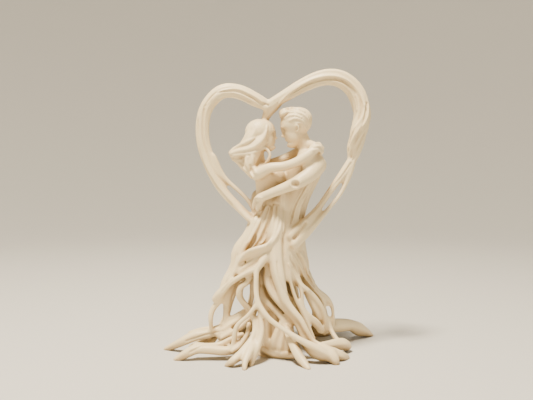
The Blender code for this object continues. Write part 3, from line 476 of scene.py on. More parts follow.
GROOVES = (
    # the left band
    ((-66, 241, 1.7), (-67, 215, 1.7), (-62, 195, 1.7), (-54, 177, 1.7), (-41, 163, 1.7)),
    ((-66, 243, 1.6), (-54, 256.5, 1.6), (-36, 258.5, 1.6), (-20, 253, 1.6), (-8, 245, 1.6)),
    ((-58, 240, 1.3), (-49, 251, 1.3), (-35, 253.5, 1.3), (-20, 248, 1.3)),
    ((-72, 230, 1.4), (-72, 208, 1.4), (-66, 185, 1.4), (-54, 164, 1.4), (-38, 145, 1.4)),
    # the right band
    ((8, 247, 1.7), (20, 255.5, 1.7), (40, 266.5, 1.7), (60, 271, 1.7), (76, 267, 1.7), (87, 255, 1.7),
     (92, 242, 1.7), (87, 227, 1.7), (81, 213, 1.7), (78, 199, 1.7)),
    ((20, 249, 1.5), (40, 260, 1.5), (60, 265.5, 1.5), (72, 262, 1.5), (82, 250, 1.5), (85, 238, 1.5),
     (80, 222, 1.5)),
    ((97, 247, 1.8), (94, 229, 1.8), (87, 213, 1.8), (82, 199, 1.8), (81, 191, 1.8)),
    ((100, 229, 1.5), (93, 214, 1.5), (87, 201, 1.5), (83, 190, 1.5)),
    ((81, 187, 1.3), (72, 174, 1.3), (60, 160, 1.3), (48, 144, 1.3), (36, 132, 1.3)),
    # between the falls of cloth
    ((-6, 143, 1.5), (-11.5, 132, 1.5), (-18, 120, 1.5), (-24, 108.5, 1.5)),
    ((-2, 142, 1.5), (-6, 131, 1.5), (-11.5, 119, 1.5), (-17, 109, 1.5)),
    ((2, 143, 1.5), (0, 131, 1.5), (-4.5, 119, 1.5), (-9.5, 109, 1.5)),
    ((6, 143, 1.5), (5.5, 132, 1.5), (2.5, 120, 1.5), (-2, 110, 1.5)),
    # between the creases of his shirt
    ((47, 171, 1.5), (40, 158.5, 1.5), (34, 146, 1.5), (30.5, 132, 1.5)),
    ((41, 167.5, 1.5), (34.3, 155.5, 1.5), (28.5, 143.5, 1.5), (25.5, 130, 1.5)),
    ((35, 163, 1.4), (29, 152, 1.4), (23.8, 140, 1.4), (21, 127.5, 1.4)),
    # beside the front panel
    ((12.5, 154, 1.6), (12.8, 143, 1.8), (13, 125, 1.8), (13.5, 108, 1.8), (14, 94, 1.6)),
    # between her hair and her shoulder
    ((-20, 185, 1.6), (-17, 175, 1.6)),
    # along the front roots
    ((-12, 88, 1.2), (-17, 77, 1.2), (-16, 60, 1.2), (-12, 46, 1.2)),
    ((7, 88, 1.4), (10, 70, 1.4), (18, 54, 1.4), (29, 40, 1.4)),
    ((-14, 83, 1.2), (-25, 78, 1.2), (-38, 70, 1.2), (-48, 59, 1.2)),
    ((30, 88, 1.3), (36, 74, 1.3), (44, 62, 1.3), (54, 53, 1.3)),
    ((-84, 9, 1.4), (-65, 15, 1.4), (-48, 19, 1.4)),
    ((-80, -2, 1.5), (-64, 5, 1.5), (-46, 4, 1.5)),
)
HOLLOWS = (
    # the long hollow in the cloth over her knee
    ((-14.5, 115, 1.8), (-16, 109, 2.6), (-20, 103, 2.6), (-26, 97, 1.8)),
    # a small one beside it
    ((-4, 117, 1.5), (-5, 113, 1.8), (-7.5, 108.5, 1.5)),
    # where the strands fold round his hip
    ((36, 127, 2.6), (30, 119, 2.6), (24, 112, 2.6)),
    # the slit where the two bands meet, and the one above the front left foot
    ((-7.5, 247.2, 1.4), (-5, 246.2, 1.7), (-2, 244.8, 1.4)),
    ((-13, 41, 1.6), (-12.5, 36, 2.2), (-13, 31, 1.4)),
    # down his side
    ((20.5, 91, 1.4), (24, 85, 1.9), (30, 74.5, 1.9), (37.5, 64.5, 1.5)),
    ((27, 97, 1.4), (32, 88.5, 2), (36.5, 76, 2), (44, 63.5, 1.5)),
    ((33.5, 99, 1.4), (38, 89, 1.8), (39.5, 78, 1.5)),
)


def seen(x, z, y):
    """The true place, in squares, of a point drawn at (x, z) and lying y squares back."""
    spread = 1 + y / EYE_BACK
    return Vector((x * spread, y, EYE_UP + (z - EYE_UP) * spread))


def drawn(rows):
    """The rows x, z, y, r of one strand, and any turn, as true places and half thicknesses."""
    found = []
    for x, z, y, r, *turn in rows:
        if y is ON_FLOOR:
            y = EYE_BACK * (EYE_UP / (EYE_UP - z) - 1)
        found.append((*seen(x, z, y), r * (1 + y / EYE_BACK), *turn))
    return found


def smoothed(rows, steps=STEPS):
    """A smooth run through the rows."""
    rows = [Vector(row) for row in rows]
    ends = [2 * rows[0] - rows[1], *rows, 2 * rows[-1] - rows[-2]]
    run = []
    for a, b, c, d in zip(ends, ends[1:], ends[2:], ends[3:]):
        for step in range(steps):
            t = step / steps
            bend = (2 * a - 5 * b + 4 * c - d) * t * t + (3 * b - a - 3 * c + d) * t ** 3
            run.append(0.5 * (2 * b + (c - a) * t + bend))
    run.append(rows[-1])
    return run


def rounded(run):
    """The run with its two ends drawn in to a round tip."""
    ends = []
    for last, before in ((run[0], run[1]), (run[-1], run[-2])):
        away = Vector(last[:3]) - Vector(before[:3])
        away.normalize()
        tip = []
        for out, share in TIP:
            place = Vector(last[:3]) + away * last[3] * out
            tip.append(Vector((*place, last[3] * share, *last[4:])))
        ends.append(tip)
    return [*reversed(ends[0]), *run, *ends[1]]


def in_scene(name, data):
    """A new object in the scene with this data."""
    obj = bpy.data.objects.new(name, data)
    bpy.context.scene.collection.objects.link(obj)
    return obj


def filled(mesh, bm):
    """The mesh with what the bmesh holds; the bmesh goes."""
    bm.to_mesh(mesh)
    bm.free()
    return mesh


def new_curve(name):
    """A curve that strands are added to."""
    curve = bpy.data.curves.new(name, "CURVE")
    curve.dimensions = "3D"
    return curve


def add_strand(curve, run, tips=True):
    """One strand of the curve, with its thickness, and any turn, at each point."""
    run = rounded(run) if tips else run
    spline = curve.splines.new("POLY")
    spline.points.add(len(run) - 1)
    for point, (x, y, z, r, *turn) in zip(spline.points, run):
        point.co = (x * SQUARE, y * SQUARE, z * SQUARE, 1)
        point.radius = max(r, THINNEST)
        point.tilt = math.radians(turn[0]) if turn else 0


def add_back_roots(curve):
    """The roots of the hidden side: they leave the hips, swing round as they fall, and fork into toes."""
    chance = random.Random(BACK_SEED)
    for bearing, reach, stout in BACK_ROOTS:
        rows = []
        for level, out, r in BACK_ROOT:
            fallen = 1 - level / BACK_ROOT[0][0]
            swung = BACK_SWIRL * math.sin(math.pi * fallen) + chance.uniform(-BACK_SWAY, BACK_SWAY)
            angle = math.radians(bearing + swung)
            out *= reach
            x = BACK_MIDDLE + BACK_WIDER * out * math.cos(angle)
            rows.append((x, out * math.sin(angle), level, r * stout))
        add_strand(curve, smoothed(rows))
        fork = math.radians(bearing + TOE_TURN)
        toe = [rows[-3]]
        for out, level, r in TOE:
            out *= reach
            toe.append((BACK_MIDDLE + out * math.cos(fork), out * math.sin(fork), level, r))
        add_strand(curve, smoothed(toe))


def add_folds(curve, rings, bearings, twist):
    """Ridges of cloth that run down a body, each turning by twist on the way."""
    for bearing in bearings:
        rows = []
        for index, (x, z, wide, deep) in enumerate(rings):
            share = index / (len(rings) - 1)
            angle = math.radians(bearing + twist * share)
            thick = FOLD * (FOLD_END + FOLD_END * math.sin(math.pi * share))
            wide = (wide - thick) * FOLD_SHARE + thick * FOLD_OUT
            deep = (deep - thick) * FOLD_SHARE + thick * FOLD_OUT
            rows.append((x + wide * math.cos(angle), deep * math.sin(angle), z, thick))
        add_strand(curve, smoothed(rows))


def add_node(tree, kind, inputs=(), **settings):
    """A node with its settings; inputs pairs a socket's name or number with a value or another socket."""
    node = tree.nodes.new(kind)
    for name, value in settings.items():
        setattr(node, name, value)
    for name, value in inputs:
        if isinstance(value, bpy.types.NodeSocket):
            tree.links.new(value, node.inputs[name])
        else:
            node.inputs[name].default_value = value
    return node


def new_tree(name, sockets):
    """A Geometry Nodes tree with a mesh in and out, and named inputs."""
    tree = bpy.data.node_groups.new(name, "GeometryNodeTree")
    tree.interface.new_socket("Geometry", in_out="OUTPUT", socket_type="NodeSocketGeometry")
    tree.interface.new_socket("Geometry", in_out="INPUT", socket_type="NodeSocketGeometry")
    for label, kind in sockets:
        tree.interface.new_socket(label, in_out="INPUT", socket_type=kind)
    return tree, add_node(tree, "NodeGroupInput").outputs


def end_tree(tree, geometry, material):
    """The tree's last nodes: real geometry, with its material, to the output."""
    real = add_node(tree, "GeometryNodeRealizeInstances", (("Geometry", geometry),))
    coat = add_node(tree, "GeometryNodeSetMaterial", (
        ("Geometry", real.outputs[0]), ("Material", material),
    ))
    add_node(tree, "NodeGroupOutput", (("Geometry", coat.outputs[0]),))
    return tree


def ribbed_tree(name, faces_front):
    """Strands swept along curves, each with ribs along it that follow the curve's tilt."""
    tree, given = new_tree(name, (
        ("Unit", "NodeSocketFloat"), ("Sides", "NodeSocketInt"), ("Flatness", "NodeSocketFloat"),
        ("Ribs", "NodeSocketFloat"), ("Rib Depth", "NodeSocketFloat"), ("Material", "NodeSocketMaterial"),
    ))
    path = given["Geometry"]
    if faces_front:
        normal = add_node(tree, "GeometryNodeSetCurveNormal", (
            ("Curve", path), ("Normal", (0, 1, 0)),
        ), mode="FREE")
        path = normal.outputs[0]
    radius = add_node(tree, "GeometryNodeInputRadius")
    thick = add_node(tree, "GeometryNodeCaptureAttribute", (("Geometry", path),))
    thick.capture_items.new("FLOAT", "Radius")
    tree.links.new(radius.outputs[0], thick.inputs[1])
    ring = add_node(tree, "GeometryNodeCurvePrimitiveCircle", (
        ("Resolution", given["Sides"]), ("Radius", given["Unit"]),
    ))
    place = add_node(tree, "GeometryNodeInputPosition")
    apart = add_node(tree, "ShaderNodeSeparateXYZ", ((0, place.outputs[0]),))
    round_it = add_node(tree, "ShaderNodeMath", (
        (0, apart.outputs[1]), (1, apart.outputs[0]),
    ), operation="ARCTAN2")
    angle = add_node(tree, "GeometryNodeCaptureAttribute", (("Geometry", ring.outputs[0]),))
    angle.capture_items.new("FLOAT", "Angle")
    tree.links.new(round_it.outputs[0], angle.inputs[1])
    scale = add_node(tree, "ShaderNodeCombineXYZ", ((0, given["Flatness"]), (1, 1.0), (2, 1.0)))
    flat = add_node(tree, "GeometryNodeTransform", (
        ("Geometry", angle.outputs[0]), ("Scale", scale.outputs[0]),
    ))
    sweep = add_node(tree, "GeometryNodeCurveToMesh", (
        ("Curve", thick.outputs[0]), ("Profile Curve", flat.outputs[0]), ("Scale", radius.outputs[0]),
        ("Fill Caps", True),
    ))
    turns = add_node(tree, "ShaderNodeMath", (
        (0, angle.outputs[1]), (1, given["Ribs"]),
    ), operation="MULTIPLY")
    wave = add_node(tree, "ShaderNodeMath", ((0, turns.outputs[0]),), operation="COSINE")
    tall = add_node(tree, "ShaderNodeMath", (
        (0, wave.outputs[0]), (1, given["Rib Depth"]),
    ), operation="MULTIPLY")
    unit = add_node(tree, "ShaderNodeMath", (
        (0, thick.outputs[1]), (1, given["Unit"]),
    ), operation="MULTIPLY")
    size = add_node(tree, "ShaderNodeMath", (
        (0, tall.outputs[0]), (1, unit.outputs[0]),
    ), operation="MULTIPLY")
    normal = add_node(tree, "GeometryNodeInputNormal")
    move = add_node(tree, "ShaderNodeVectorMath", (
        (0, normal.outputs[0]), ("Scale", size.outputs[0]),
    ), operation="SCALE")
    ribbed = add_node(tree, "GeometryNodeSetPosition", (
        ("Geometry", sweep.outputs[0]), ("Offset", move.outputs[0]),
    ))
    return end_tree(tree, ribbed.outputs[0], given["Material"])


def worked_tree():
    """Lines worked into a skin: each pushes it out or in, most along the line and fading to its sides."""
    tree, given = new_tree("lines_worked_in", (
        ("Lines", "NodeSocketObject"), ("Unit", "NodeSocketFloat"), ("Height", "NodeSocketFloat"),
        ("Spacing", "NodeSocketFloat"), ("Material", "NodeSocketMaterial"),
    ))
    lines = add_node(tree, "GeometryNodeObjectInfo", (("Object", given["Lines"]),))
    radius = add_node(tree, "GeometryNodeInputRadius")
    wide = add_node(tree, "ShaderNodeMath", (
        (0, radius.outputs[0]), (1, given["Unit"]),
    ), operation="MULTIPLY")
    held = add_node(tree, "GeometryNodeStoreNamedAttribute", (
        ("Geometry", lines.outputs["Geometry"]), ("Name", "half_width"), ("Value", wide.outputs[0]),
    ), data_type="FLOAT", domain="POINT")
    dots = add_node(tree, "GeometryNodeCurveToPoints", (
        ("Curve", held.outputs[0]), ("Length", given["Spacing"]),
    ), mode="LENGTH")
    nearest = add_node(tree, "GeometryNodeSampleNearest", (
        ("Geometry", dots.outputs[0]),
    ), domain="POINT")
    named = add_node(tree, "GeometryNodeInputNamedAttribute", (
        ("Name", "half_width"),
    ), data_type="FLOAT")
    width = add_node(tree, "GeometryNodeSampleIndex", (
        ("Geometry", dots.outputs[0]), ("Value", named.outputs[0]), ("Index", nearest.outputs[0]),
    ), data_type="FLOAT", domain="POINT")
    place = add_node(tree, "GeometryNodeInputPosition")
    spot = add_node(tree, "GeometryNodeSampleIndex", (
        ("Geometry", dots.outputs[0]), ("Value", place.outputs[0]), ("Index", nearest.outputs[0]),
    ), data_type="FLOAT_VECTOR", domain="POINT")
    far = add_node(tree, "ShaderNodeVectorMath", (
        (0, place.outputs[0]), (1, spot.outputs[0]),
    ), operation="DISTANCE")
    share = add_node(tree, "ShaderNodeMath", (
        (0, far.outputs["Value"]), (1, width.outputs[0]),
    ), operation="DIVIDE")
    share.use_clamp = True
    square = add_node(tree, "ShaderNodeMath", (
        (0, share.outputs[0]), (1, share.outputs[0]),
    ), operation="MULTIPLY")
    left = add_node(tree, "ShaderNodeMath", ((0, 1.0), (1, square.outputs[0])), operation="SUBTRACT")
    bell = add_node(tree, "ShaderNodeMath", (
        (0, left.outputs[0]), (1, left.outputs[0]),
    ), operation="MULTIPLY")
    tall = add_node(tree, "ShaderNodeMath", (
        (0, bell.outputs[0]), (1, given["Height"]),
    ), operation="MULTIPLY")
    size = add_node(tree, "ShaderNodeMath", (
        (0, tall.outputs[0]), (1, width.outputs[0]),
    ), operation="MULTIPLY")
    normal = add_node(tree, "GeometryNodeInputNormal")
    move = add_node(tree, "ShaderNodeVectorMath", (
        (0, normal.outputs[0]), ("Scale", size.outputs[0]),
    ), operation="SCALE")
    worked = add_node(tree, "GeometryNodeSetPosition", (
        ("Geometry", given["Geometry"]), ("Offset", move.outputs[0]),
    ))
    return end_tree(tree, worked.outputs[0], given["Material"])


def through_tree(data, tree, values):
    """The curve or mesh taken through a Geometry Nodes tree with these inputs, as a plain mesh."""
    obj = in_scene(tree.name, data)
    nodes = obj.modifiers.new(tree.name, "NODES")
    nodes.node_group = tree
    for item in tree.interface.items_tree:
        if item.in_out == "INPUT" and item.name in values:
            nodes[item.identifier] = values[item.name]
    return made_real(obj)


def made_real(obj):
    """The evaluated object as a plain mesh; the object goes."""
    graph = bpy.context.evaluated_depsgraph_get()
    mesh = bpy.data.meshes.new_from_object(obj.evaluated_get(graph), depsgraph=graph)
    bpy.data.objects.remove(obj)
    return mesh


def mesh_of_strands(coat):
    """The heart's bands, the arms, hair, roots and folds, swept with their ribs."""
    bands = new_curve("heart_bands")
    for rows in (HEART_LEFT, HEART_RIGHT):
        run = []
        for row in smoothed(drawn(rows)):
            turn = math.radians(row[4])
            across = math.hypot(math.cos(turn), BAND_FLATNESS * math.sin(turn))
            run.append(Vector((*row[:3], row[3] / across, row[4])))
        add_strand(bands, run)
    barks = new_curve("roots")
    for rows in HEART_STRANDS + ROOTS:
        add_strand(barks, smoothed(drawn(rows)))
    add_back_roots(barks)
    limbs = new_curve("limbs")
    for rows in ARMS:
        add_strand(limbs, smoothed(drawn(rows)))
    for rings, bearings, twist in FOLDED:
        add_folds(limbs, rings, bearings, twist)
    locks = new_curve("locks")
    for rows in HAIR:
        add_strand(locks, smoothed(drawn(rows)))
    band = ribbed_tree("ribbed_band", True)
    root = ribbed_tree("ribbed_root", False)
    meshes = []
    for curve, tree, flatness, (ribs, depth) in (
        (bands, band, BAND_FLATNESS, BAND_RIBS), (barks, root, 1, ROOT_RIBS),
        (limbs, root, 1, LIMB_RIBS), (locks, root, 1, LOCK_RIBS),
    ):
        meshes.append(through_tree(curve, tree, {
            "Unit": SQUARE, "Sides": RING_SIDES, "Flatness": float(flatness), "Ribs": float(ribs),
            "Rib Depth": float(depth), "Material": coat,
        }))
    return meshes


def add_loft(bm, rings):
    """A closed body through rings of x, y, z, half width and half depth."""
    loops = []
    for x, y, z, half_wide, half_deep in smoothed(rings):
        place = Matrix.Translation(Vector((x, y, z)) * SQUARE)
        size = Matrix.Diagonal((half_wide, half_deep, 1, 1))
        made = bmesh.ops.create_circle(bm, segments=RING_SIDES, radius=SQUARE, matrix=place @ size)
        loops.append([edge for edge in bm.edges if edge.verts[0] in made["verts"] and edge.is_wire])
    for lower, upper in zip(loops, loops[1:]):
        bmesh.ops.bridge_loops(bm, edges=lower + upper)
    bmesh.ops.holes_fill(bm, edges=[edge for edge in bm.edges if edge.is_boundary])


def mesh_of_bodies():
    """The two bodies and the hidden stems, as closed lofts."""
    bm = bmesh.new()
    for rows in (WOMAN_BODY, MAN_BODY):
        add_loft(bm, [(x, 0, z, wide, deep) for x, z, wide, deep in rows])
    for rows in (INNER_TRUNK, RIGHT_TRUNK):
        add_loft(bm, rows)
    bmesh.ops.recalc_face_normals(bm, faces=bm.faces)
    return filled(bpy.data.meshes.new("bodies"), bm)


def reach_of(direction):
    """How far the head goes from its middle in one direction, the forms of the head blended."""
    total = 0
    for centre, half in HEAD_FORMS:
        start = [(m - c) / h for m, c, h in zip(HEAD_MIDDLE, centre, half)]
        way = [d / h for d, h in zip(direction, half)]
        a = sum(w * w for w in way)
        b = sum(s * w for s, w in zip(start, way))
        c = sum(s * s for s in start) - 1
        under = b * b - a * c
        if under > 0:
            total += max(0, (math.sqrt(under) - b) / a) ** BLEND
    return total ** (1 / BLEND)


def with_face(point):
    """The point of a head, moved forwards or back where a feature of the face is."""
    if point.x < FACE_FROM:
        return point
    front = min(1, (point.x - FACE_FROM) / FACE_DEEP)
    out = 0
    for aside, height, forward, wide, tall in FACE:
        across = (abs(point.y) - aside) / wide
        up = (point.z - height) / tall
        out += forward * math.exp(-across * across - up * up)
    return point + Vector((out * front, 0, 0))


def head_frame(place, tall, facing, nod):
    """The matrix that takes parts of a head's height to true places, in metres."""
    turn = Matrix.Rotation(math.radians(facing), 4, "Z") @ Matrix.Rotation(math.radians(nod), 4, "Y")
    size = Matrix.Diagonal((*(tall * SQUARE,) * 3, 1))
    return Matrix.Translation(seen(*place) * SQUARE) @ turn @ size @ Matrix.Translation((0, 0, -0.5))


def add_head(bm, frame_of):
    """A head with its face."""
    around, up = HEAD_SIDES
    made = bmesh.ops.create_uvsphere(bm, u_segments=around, v_segments=up, radius=1)
    for vert in made["verts"]:
        way = vert.co.normalized()
        vert.co = frame_of @ with_face(HEAD_MIDDLE + way * reach_of(way))


def ball_frame(place, half, tilt):
    """The matrix that takes a ball of one square's radius, in metres, to a form's size and place."""
    size = Matrix.Diagonal((*half, 1))
    return Matrix.Translation(seen(*place) * SQUARE) @ Matrix.Rotation(math.radians(tilt), 4, "Y") @ size


def add_ball(bm, matrix):
    """A rounded form."""
    around, up = BALL_SIDES
    bmesh.ops.create_uvsphere(bm, u_segments=around, v_segments=up, radius=SQUARE, matrix=matrix)


def mesh_of_heads():
    """Both heads with their caps of hair."""
    bm = bmesh.new()
    add_head(bm, head_frame(*WOMAN_HEAD))
    add_head(bm, head_frame(*MAN_HEAD))
    for ball in (WOMAN_CAP, MAN_CAP, MAN_QUIFF):
        add_ball(bm, ball_frame(*ball))
    return filled(bpy.data.meshes.new("heads"), bm)


def mesh_of_trims(coat, skin):
    """His ears, and the locks and fingers laid on the skin, swept."""
    curve = new_curve("trims")
    for rows in LAID_LOCKS:
        for side in (-1, 1):
            add_laid(curve, skin, rows, side, LOCK_SINK, tips=True)
    add_laid(curve, skin, knot_ring()[0], sink=KNOT_SINK)
    matrix = head_frame(*MAN_HEAD)
    for side in (1, -1):
        run = [(*(matrix @ Vector((x, y * side, z))) / SQUARE, EAR_RIM) for x, y, z in EAR]
        add_strand(curve, smoothed(run))
    return through_tree(curve, ribbed_tree("plain_strand", False), {
        "Unit": SQUARE, "Sides": TRIM_SIDES, "Flatness": 1.0, "Ribs": 1.0, "Rib Depth": 0.0,
        "Material": coat,
    })


def joined(name, meshes):
    """The meshes as one, which is still a set of closed forms that pass through each other."""
    bm = bmesh.new()
    for mesh in meshes:
        bm.from_mesh(mesh)
    return in_scene(name, filled(bpy.data.meshes.new(name), bm))


def add_remesh(obj, grain):
    """Fuses all forms of the object into one skin of this grain."""
    remesh = obj.modifiers.new("Fuse", "REMESH")
    remesh.mode = "VOXEL"
    remesh.voxel_size = grain
    remesh.adaptivity = 0


def add_displace(obj, distance):
    """Moves the skin out by this distance, or in where it is negative."""
    displace = obj.modifiers.new("Swell", "DISPLACE")
    displace.mid_level = 0
    displace.strength = distance


def add_smooth(obj, times):
    """Softens the steps that the remesh leaves."""
    smooth = obj.modifiers.new("Soften", "SMOOTH")
    smooth.factor = 0.5
    smooth.iterations = times


def laid(skin, rows, side=-1, sink=0):
    """The rows x, z, half width, laid on the skin where an eye before it, or behind it, sees them."""
    eye = Vector((0, side * EYE_BACK, EYE_UP)) * SQUARE
    run = []
    for x, z, half in smoothed(rows):
        target = Vector((x, 0, z)) * SQUARE
        way = (target - eye).normalized()
        hit, place = skin.ray_cast(eye, way)[:2]
        if hit and not (run and (place / SQUARE - Vector(run[-1][:3])).length > JUMP):
            run.append((*(place / SQUARE + way * half * sink), half))
    return run


def add_laid(curve, skin, rows, side=-1, sink=0, tips=False):
    """A line laid on the skin, where it finds enough of it."""
    run = laid(skin, rows, side, sink)
    if len(run) > 3:
        add_strand(curve, run, tips)


def knot_ring():
    """The rows of the ring on his sleeve, and of the hollow inside it."""
    x, z, reach, half = KNOT
    ring = []
    for turn in range(0, 360 + KNOT_TURN, KNOT_TURN):
        angle = math.radians(turn)
        ring.append((x + reach * math.cos(angle), z + KNOT_TALL * reach * math.sin(angle), half))
    aside, wide = KNOT_HOLLOW
    return ring, [(x - aside, z, reach * wide), (x + aside, z, reach * wide)]


def hair_lines(curve, skin, ball, crown, count, span, wave, half):
    """Grooves between locks: lines over a cap of hair that spread from its crown, laid on the skin."""
    matrix = ball_frame(*ball)
    turn = Vector((0, 0, 1)).rotation_difference(Vector(crown).normalized())
    for lock in range(count):
        bearing = 2 * math.pi * lock / count
        run = []
        for step in range(HAIR_STEPS + 1):
            share = step / HAIR_STEPS
            fall = math.radians(span[0] + (span[1] - span[0]) * share)
            aside = bearing + wave * math.sin(math.pi * share)
            out = math.sin(fall)
            way = Vector((out * math.cos(aside), out * math.sin(aside), math.cos(fall)))
            point = matrix @ (turn @ way * SQUARE)
            found, place = skin.closest_point_on_mesh(point)[:2]
            if found and (place - point).length < NEAR_CAP * SQUARE:
                swelling = math.sin(math.pi * (0.1 + 0.8 * share))
                run.append((*place / SQUARE, half * (0.5 + 0.5 * swelling)))
        if len(run) > 3:
            add_strand(curve, run, tips=False)


def worked(skin_mesh, curve, height, coat, tree):
    """The skin with the curve's lines raised or sunk by height, in parts of their half width."""
    lines = in_scene(curve.name, curve)
    mesh = through_tree(skin_mesh, tree, {
        "Lines": lines, "Unit": SQUARE, "Height": height, "Spacing": LINE_SPACING, "Material": coat,
    })
    bpy.data.objects.remove(lines)
    return mesh


def weigh_for_faces(obj):
    """A group that thins the heads and what is level with them less than the rest."""
    group = obj.vertex_groups.new(name="thin")
    for vert in obj.data.vertices:
        high = HEADS_LOW * SQUARE < vert.co.z < HEADS_HIGH * SQUARE
        near = high and abs(vert.co.x) < HEADS_WIDE * SQUARE
        group.add([vert.index], HEADS_THINNED if near else 1.0, "REPLACE")


def fused_skin(coat):
    """All forms as one closed skin: strands and bodies first, then the heads and what lies on them."""
    forms = joined("forms", [*mesh_of_strands(coat), mesh_of_bodies()])
    add_remesh(forms, GRAIN)
    add_displace(forms, SWELL)
    add_remesh(forms, GRAIN)
    add_displace(forms, -SHRINK)
    add_smooth(forms, 2)
    fused = made_real(forms)
    base = joined("base", [fused, mesh_of_heads()])
    bpy.context.view_layer.update()
    whole = joined("whole", [base.data, mesh_of_trims(coat, base)])
    bpy.data.objects.remove(base)
    add_remesh(whole, FINE_GRAIN)
    add_smooth(whole, 1)
    return made_real(whole)


def worked_in(mesh, coat):
    """The skin with the folds of cloth, the ribs of the bands and the locks of hair worked into it."""
    skin = in_scene("skin", mesh)
    bpy.context.view_layer.update()
    ridges = new_curve("ridges")
    grooves = new_curve("grooves")
    hollows = new_curve("hollows")
    for side in (-1, 1):
        for rows in RIDGES:
            add_laid(ridges, skin, rows, side)
        for rows in GROOVES:
            add_laid(grooves, skin, rows, side)
    for rows in (*HOLLOWS, knot_ring()[1]):
        add_laid(hollows, skin, rows)
    for lines in HAIR_GROOVES:
        hair_lines(grooves, skin, *lines)
    bpy.data.objects.remove(skin)
    tree = worked_tree()
    for curve, height in ((ridges, RIDGE_HEIGHT), (grooves, -GROOVE_DEPTH), (hollows, -HOLLOW_DEPTH)):
        mesh = worked(mesh, curve, height, coat, tree)
    return mesh


def carved_couple(coat):
    """The whole figurine, thinned to the triangles it may have and cut level with the floor."""
    mesh = worked_in(fused_skin(coat), coat)
    couple = in_scene("couple_in_resin", mesh)
    weigh_for_faces(couple)
    thin = couple.modifiers.new("Thin", "DECIMATE")
    thin.ratio = TRIANGLES / (2 * len(mesh.polygons))
    thin.vertex_group = "thin"
    thin.vertex_group_factor = THIN_FACTOR
    block = bpy.data.meshes.new("floor_block")
    bm = bmesh.new()
    bmesh.ops.create_cube(bm, size=FLOOR_BLOCK, matrix=Matrix.Translation((0, 0, -FLOOR_BLOCK / 2)))
    filled(block, bm)
    floor = in_scene("floor_block", block)
    stand = couple.modifiers.new("Stand", "BOOLEAN")
    stand.object = floor
    stand.operation = "DIFFERENCE"
    stand.solver = "MANIFOLD"
    mesh = made_real(couple)
    bpy.data.objects.remove(floor)
    mesh.materials.clear()
    mesh.materials.append(coat)
    mesh.shade_smooth()
    return in_scene("couple_in_resin", mesh)


def linear(hex_colour):
    """A colour written as sRGB hex, as linear values."""
    parts = [int(hex_colour[i:i + 2], 16) / 255 for i in (0, 2, 4)]
    return (*(c / 12.92 if c <= 0.04045 else ((c + 0.055) / 1.055) ** 2.4 for c in parts), 1)


def ivory_resin():
    """Ivory resin, printed and left matt: light goes a little way in, and its hollows carry painted
    shade, darker and warmer.
    """
    material = bpy.data.materials.new("ivory_resin")
    material.use_nodes = True
    tree = material.node_tree
    shader = tree.nodes["Principled BSDF"]
    shader.inputs["Roughness"].default_value = 0.45
    shader.inputs["IOR"].default_value = 1.5
    shader.inputs["Subsurface Weight"].default_value = 0.08
    shader.inputs["Subsurface Radius"].default_value = (1.0, 0.78, 0.42)
    shader.inputs["Subsurface Scale"].default_value = 0.0015
    place = add_node(tree, "ShaderNodeTexCoord").outputs["Object"]
    # a cloudy change of tone, hardly seen
    cloud = add_node(tree, "ShaderNodeTexNoise", (
        ("Vector", place), ("Scale", 1000 / CLOUD_MM), ("Detail", 3.0),
    ))
    tone = add_node(tree, "ShaderNodeMix", (
        ("Factor", cloud.outputs["Fac"]), (6, linear("F8E6C0")), (7, linear("EDD8AA")),
    ), data_type="RGBA")
    # painted shade: a deeper, warmer tone in hollows, felt within 12 mm, darkest where they are most
    # enclosed
    shade = add_node(tree, "ShaderNodeAmbientOcclusion", (("Distance", 0.012),), samples=8, inside=False)
    deep = add_node(tree, "ShaderNodeMapRange", (
        ("Value", shade.outputs["AO"]), ("From Min", 0.1), ("From Max", 0.55),
    ))
    shallow = add_node(tree, "ShaderNodeMapRange", (
        ("Value", shade.outputs["AO"]), ("From Min", 0.45), ("From Max", 0.95),
    ))
    # the painted shade's tones: dark brown in deep hollows, golden in shallower ones
    hollow_shade = add_node(tree, "ShaderNodeMix", (
        ("Factor", deep.outputs[0]), (6, linear("7C653F")), (7, linear("CAAE80")),
    ), data_type="RGBA")
    # the resin's tone, with the painted shade mixed in where the surface is enclosed
    painted_shade = add_node(tree, "ShaderNodeMix", (
        ("Factor", shallow.outputs[0]), (6, hollow_shade.outputs[2]), (7, tone.outputs[2]),
    ), data_type="RGBA")
    tree.links.new(painted_shade.outputs[2], shader.inputs["Base Color"])
    # the fine grain of the matt surface
    grain = add_node(tree, "ShaderNodeTexNoise", (
        ("Vector", place), ("Scale", 1000 / GRAIN_MM), ("Detail", 2.0),
    ))
    bump = add_node(tree, "ShaderNodeBump", (
        ("Height", grain.outputs["Fac"]), ("Distance", 0.00006), ("Strength", 0.6),
    ))
    tree.links.new(bump.outputs[0], shader.inputs["Normal"])
    return material


def painted_board():
    """A matt painted board, pale grey."""
    material = bpy.data.materials.new("painted_board")
    material.use_nodes = True
    shader = material.node_tree.nodes["Principled BSDF"]
    shader.inputs["Base Color"].default_value = linear("CFCDC8")
    shader.inputs["Roughness"].default_value = 0.8
    return material


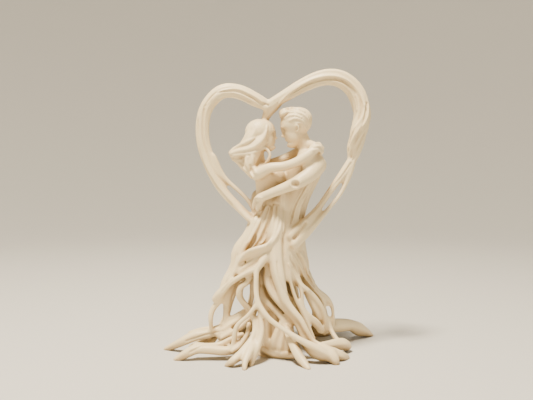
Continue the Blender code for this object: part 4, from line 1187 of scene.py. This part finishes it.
def add_floor():
    """The floor, which runs up on all sides in one wide curve, like a dish."""
    profile = [(0.02, 0), (DISH_FLAT, 0)]
    for step in range(1, DISH_STEPS + 1):
        angle = math.radians(90 * step / DISH_STEPS)
        profile.append((DISH_FLAT + DISH_ROUND * math.sin(angle), DISH_ROUND * (1 - math.cos(angle))))
    profile.append((DISH_FLAT + DISH_ROUND, DISH_HIGH))
    bm = bmesh.new()
    verts = [bm.verts.new((x, 0, z)) for x, z in profile]
    edges = [bm.edges.new(pair) for pair in zip(verts, verts[1:])]
    bmesh.ops.spin(
        bm, geom=verts + edges, axis=(0, 0, 1), cent=(0, 0, 0), steps=DISH_SIDES, angle=2 * math.pi,
        use_merge=True,
    )
    middle = [edge for edge in bm.edges if edge.is_boundary and edge.verts[0].co.z < 0.001]
    bmesh.ops.edgenet_fill(bm, edges=middle)
    bmesh.ops.recalc_face_normals(bm, faces=bm.faces)
    mesh = filled(bpy.data.meshes.new("floor"), bm)
    mesh.shade_smooth()
    mesh.materials.append(painted_board())
    return in_scene("floor", mesh)


def add_lamp(name, place, size, watts, colour):
    """A soft square lamp aimed at the couple."""
    light = bpy.data.lights.new(name, "AREA")
    light.size = size
    light.energy = watts
    light.color = linear(colour)[:3]
    lamp = in_scene(name, light)
    lamp.location = place
    lamp.rotation_euler = (LAMPS_AIM - Vector(place)).to_track_quat("-Z", "Y").to_euler()


def add_camera():
    """The photograph's point of view: level with the couple's heads, the picture's middle below them."""
    camera = bpy.data.cameras.new("camera")
    camera.sensor_width = SENSOR
    camera.lens = SENSOR * EYE_BACK / PICTURE_WIDE
    camera.shift_x = -MIDDLE_LEFT / PICTURE_WIDE
    camera.shift_y = -(EYE_UP - AIM_UP) / PICTURE_WIDE
    eye = in_scene("camera", camera)
    eye.location = Vector((0, -EYE_BACK, EYE_UP)) * SQUARE
    eye.rotation_euler = (math.pi / 2, 0, 0)
    bpy.context.scene.camera = eye


couple = carved_couple(ivory_resin())
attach(couple, "root")
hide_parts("couple")
add_floor()
add_camera()
for lamp in LAMPS:
    add_lamp(*lamp)
world = bpy.data.worlds.new("room")
world.use_nodes = True
room = world.node_tree.nodes["Background"].inputs
room["Color"].default_value = linear(ROOM_COLOUR)
room["Strength"].default_value = ROOM_LIGHT
bpy.context.scene.world = world
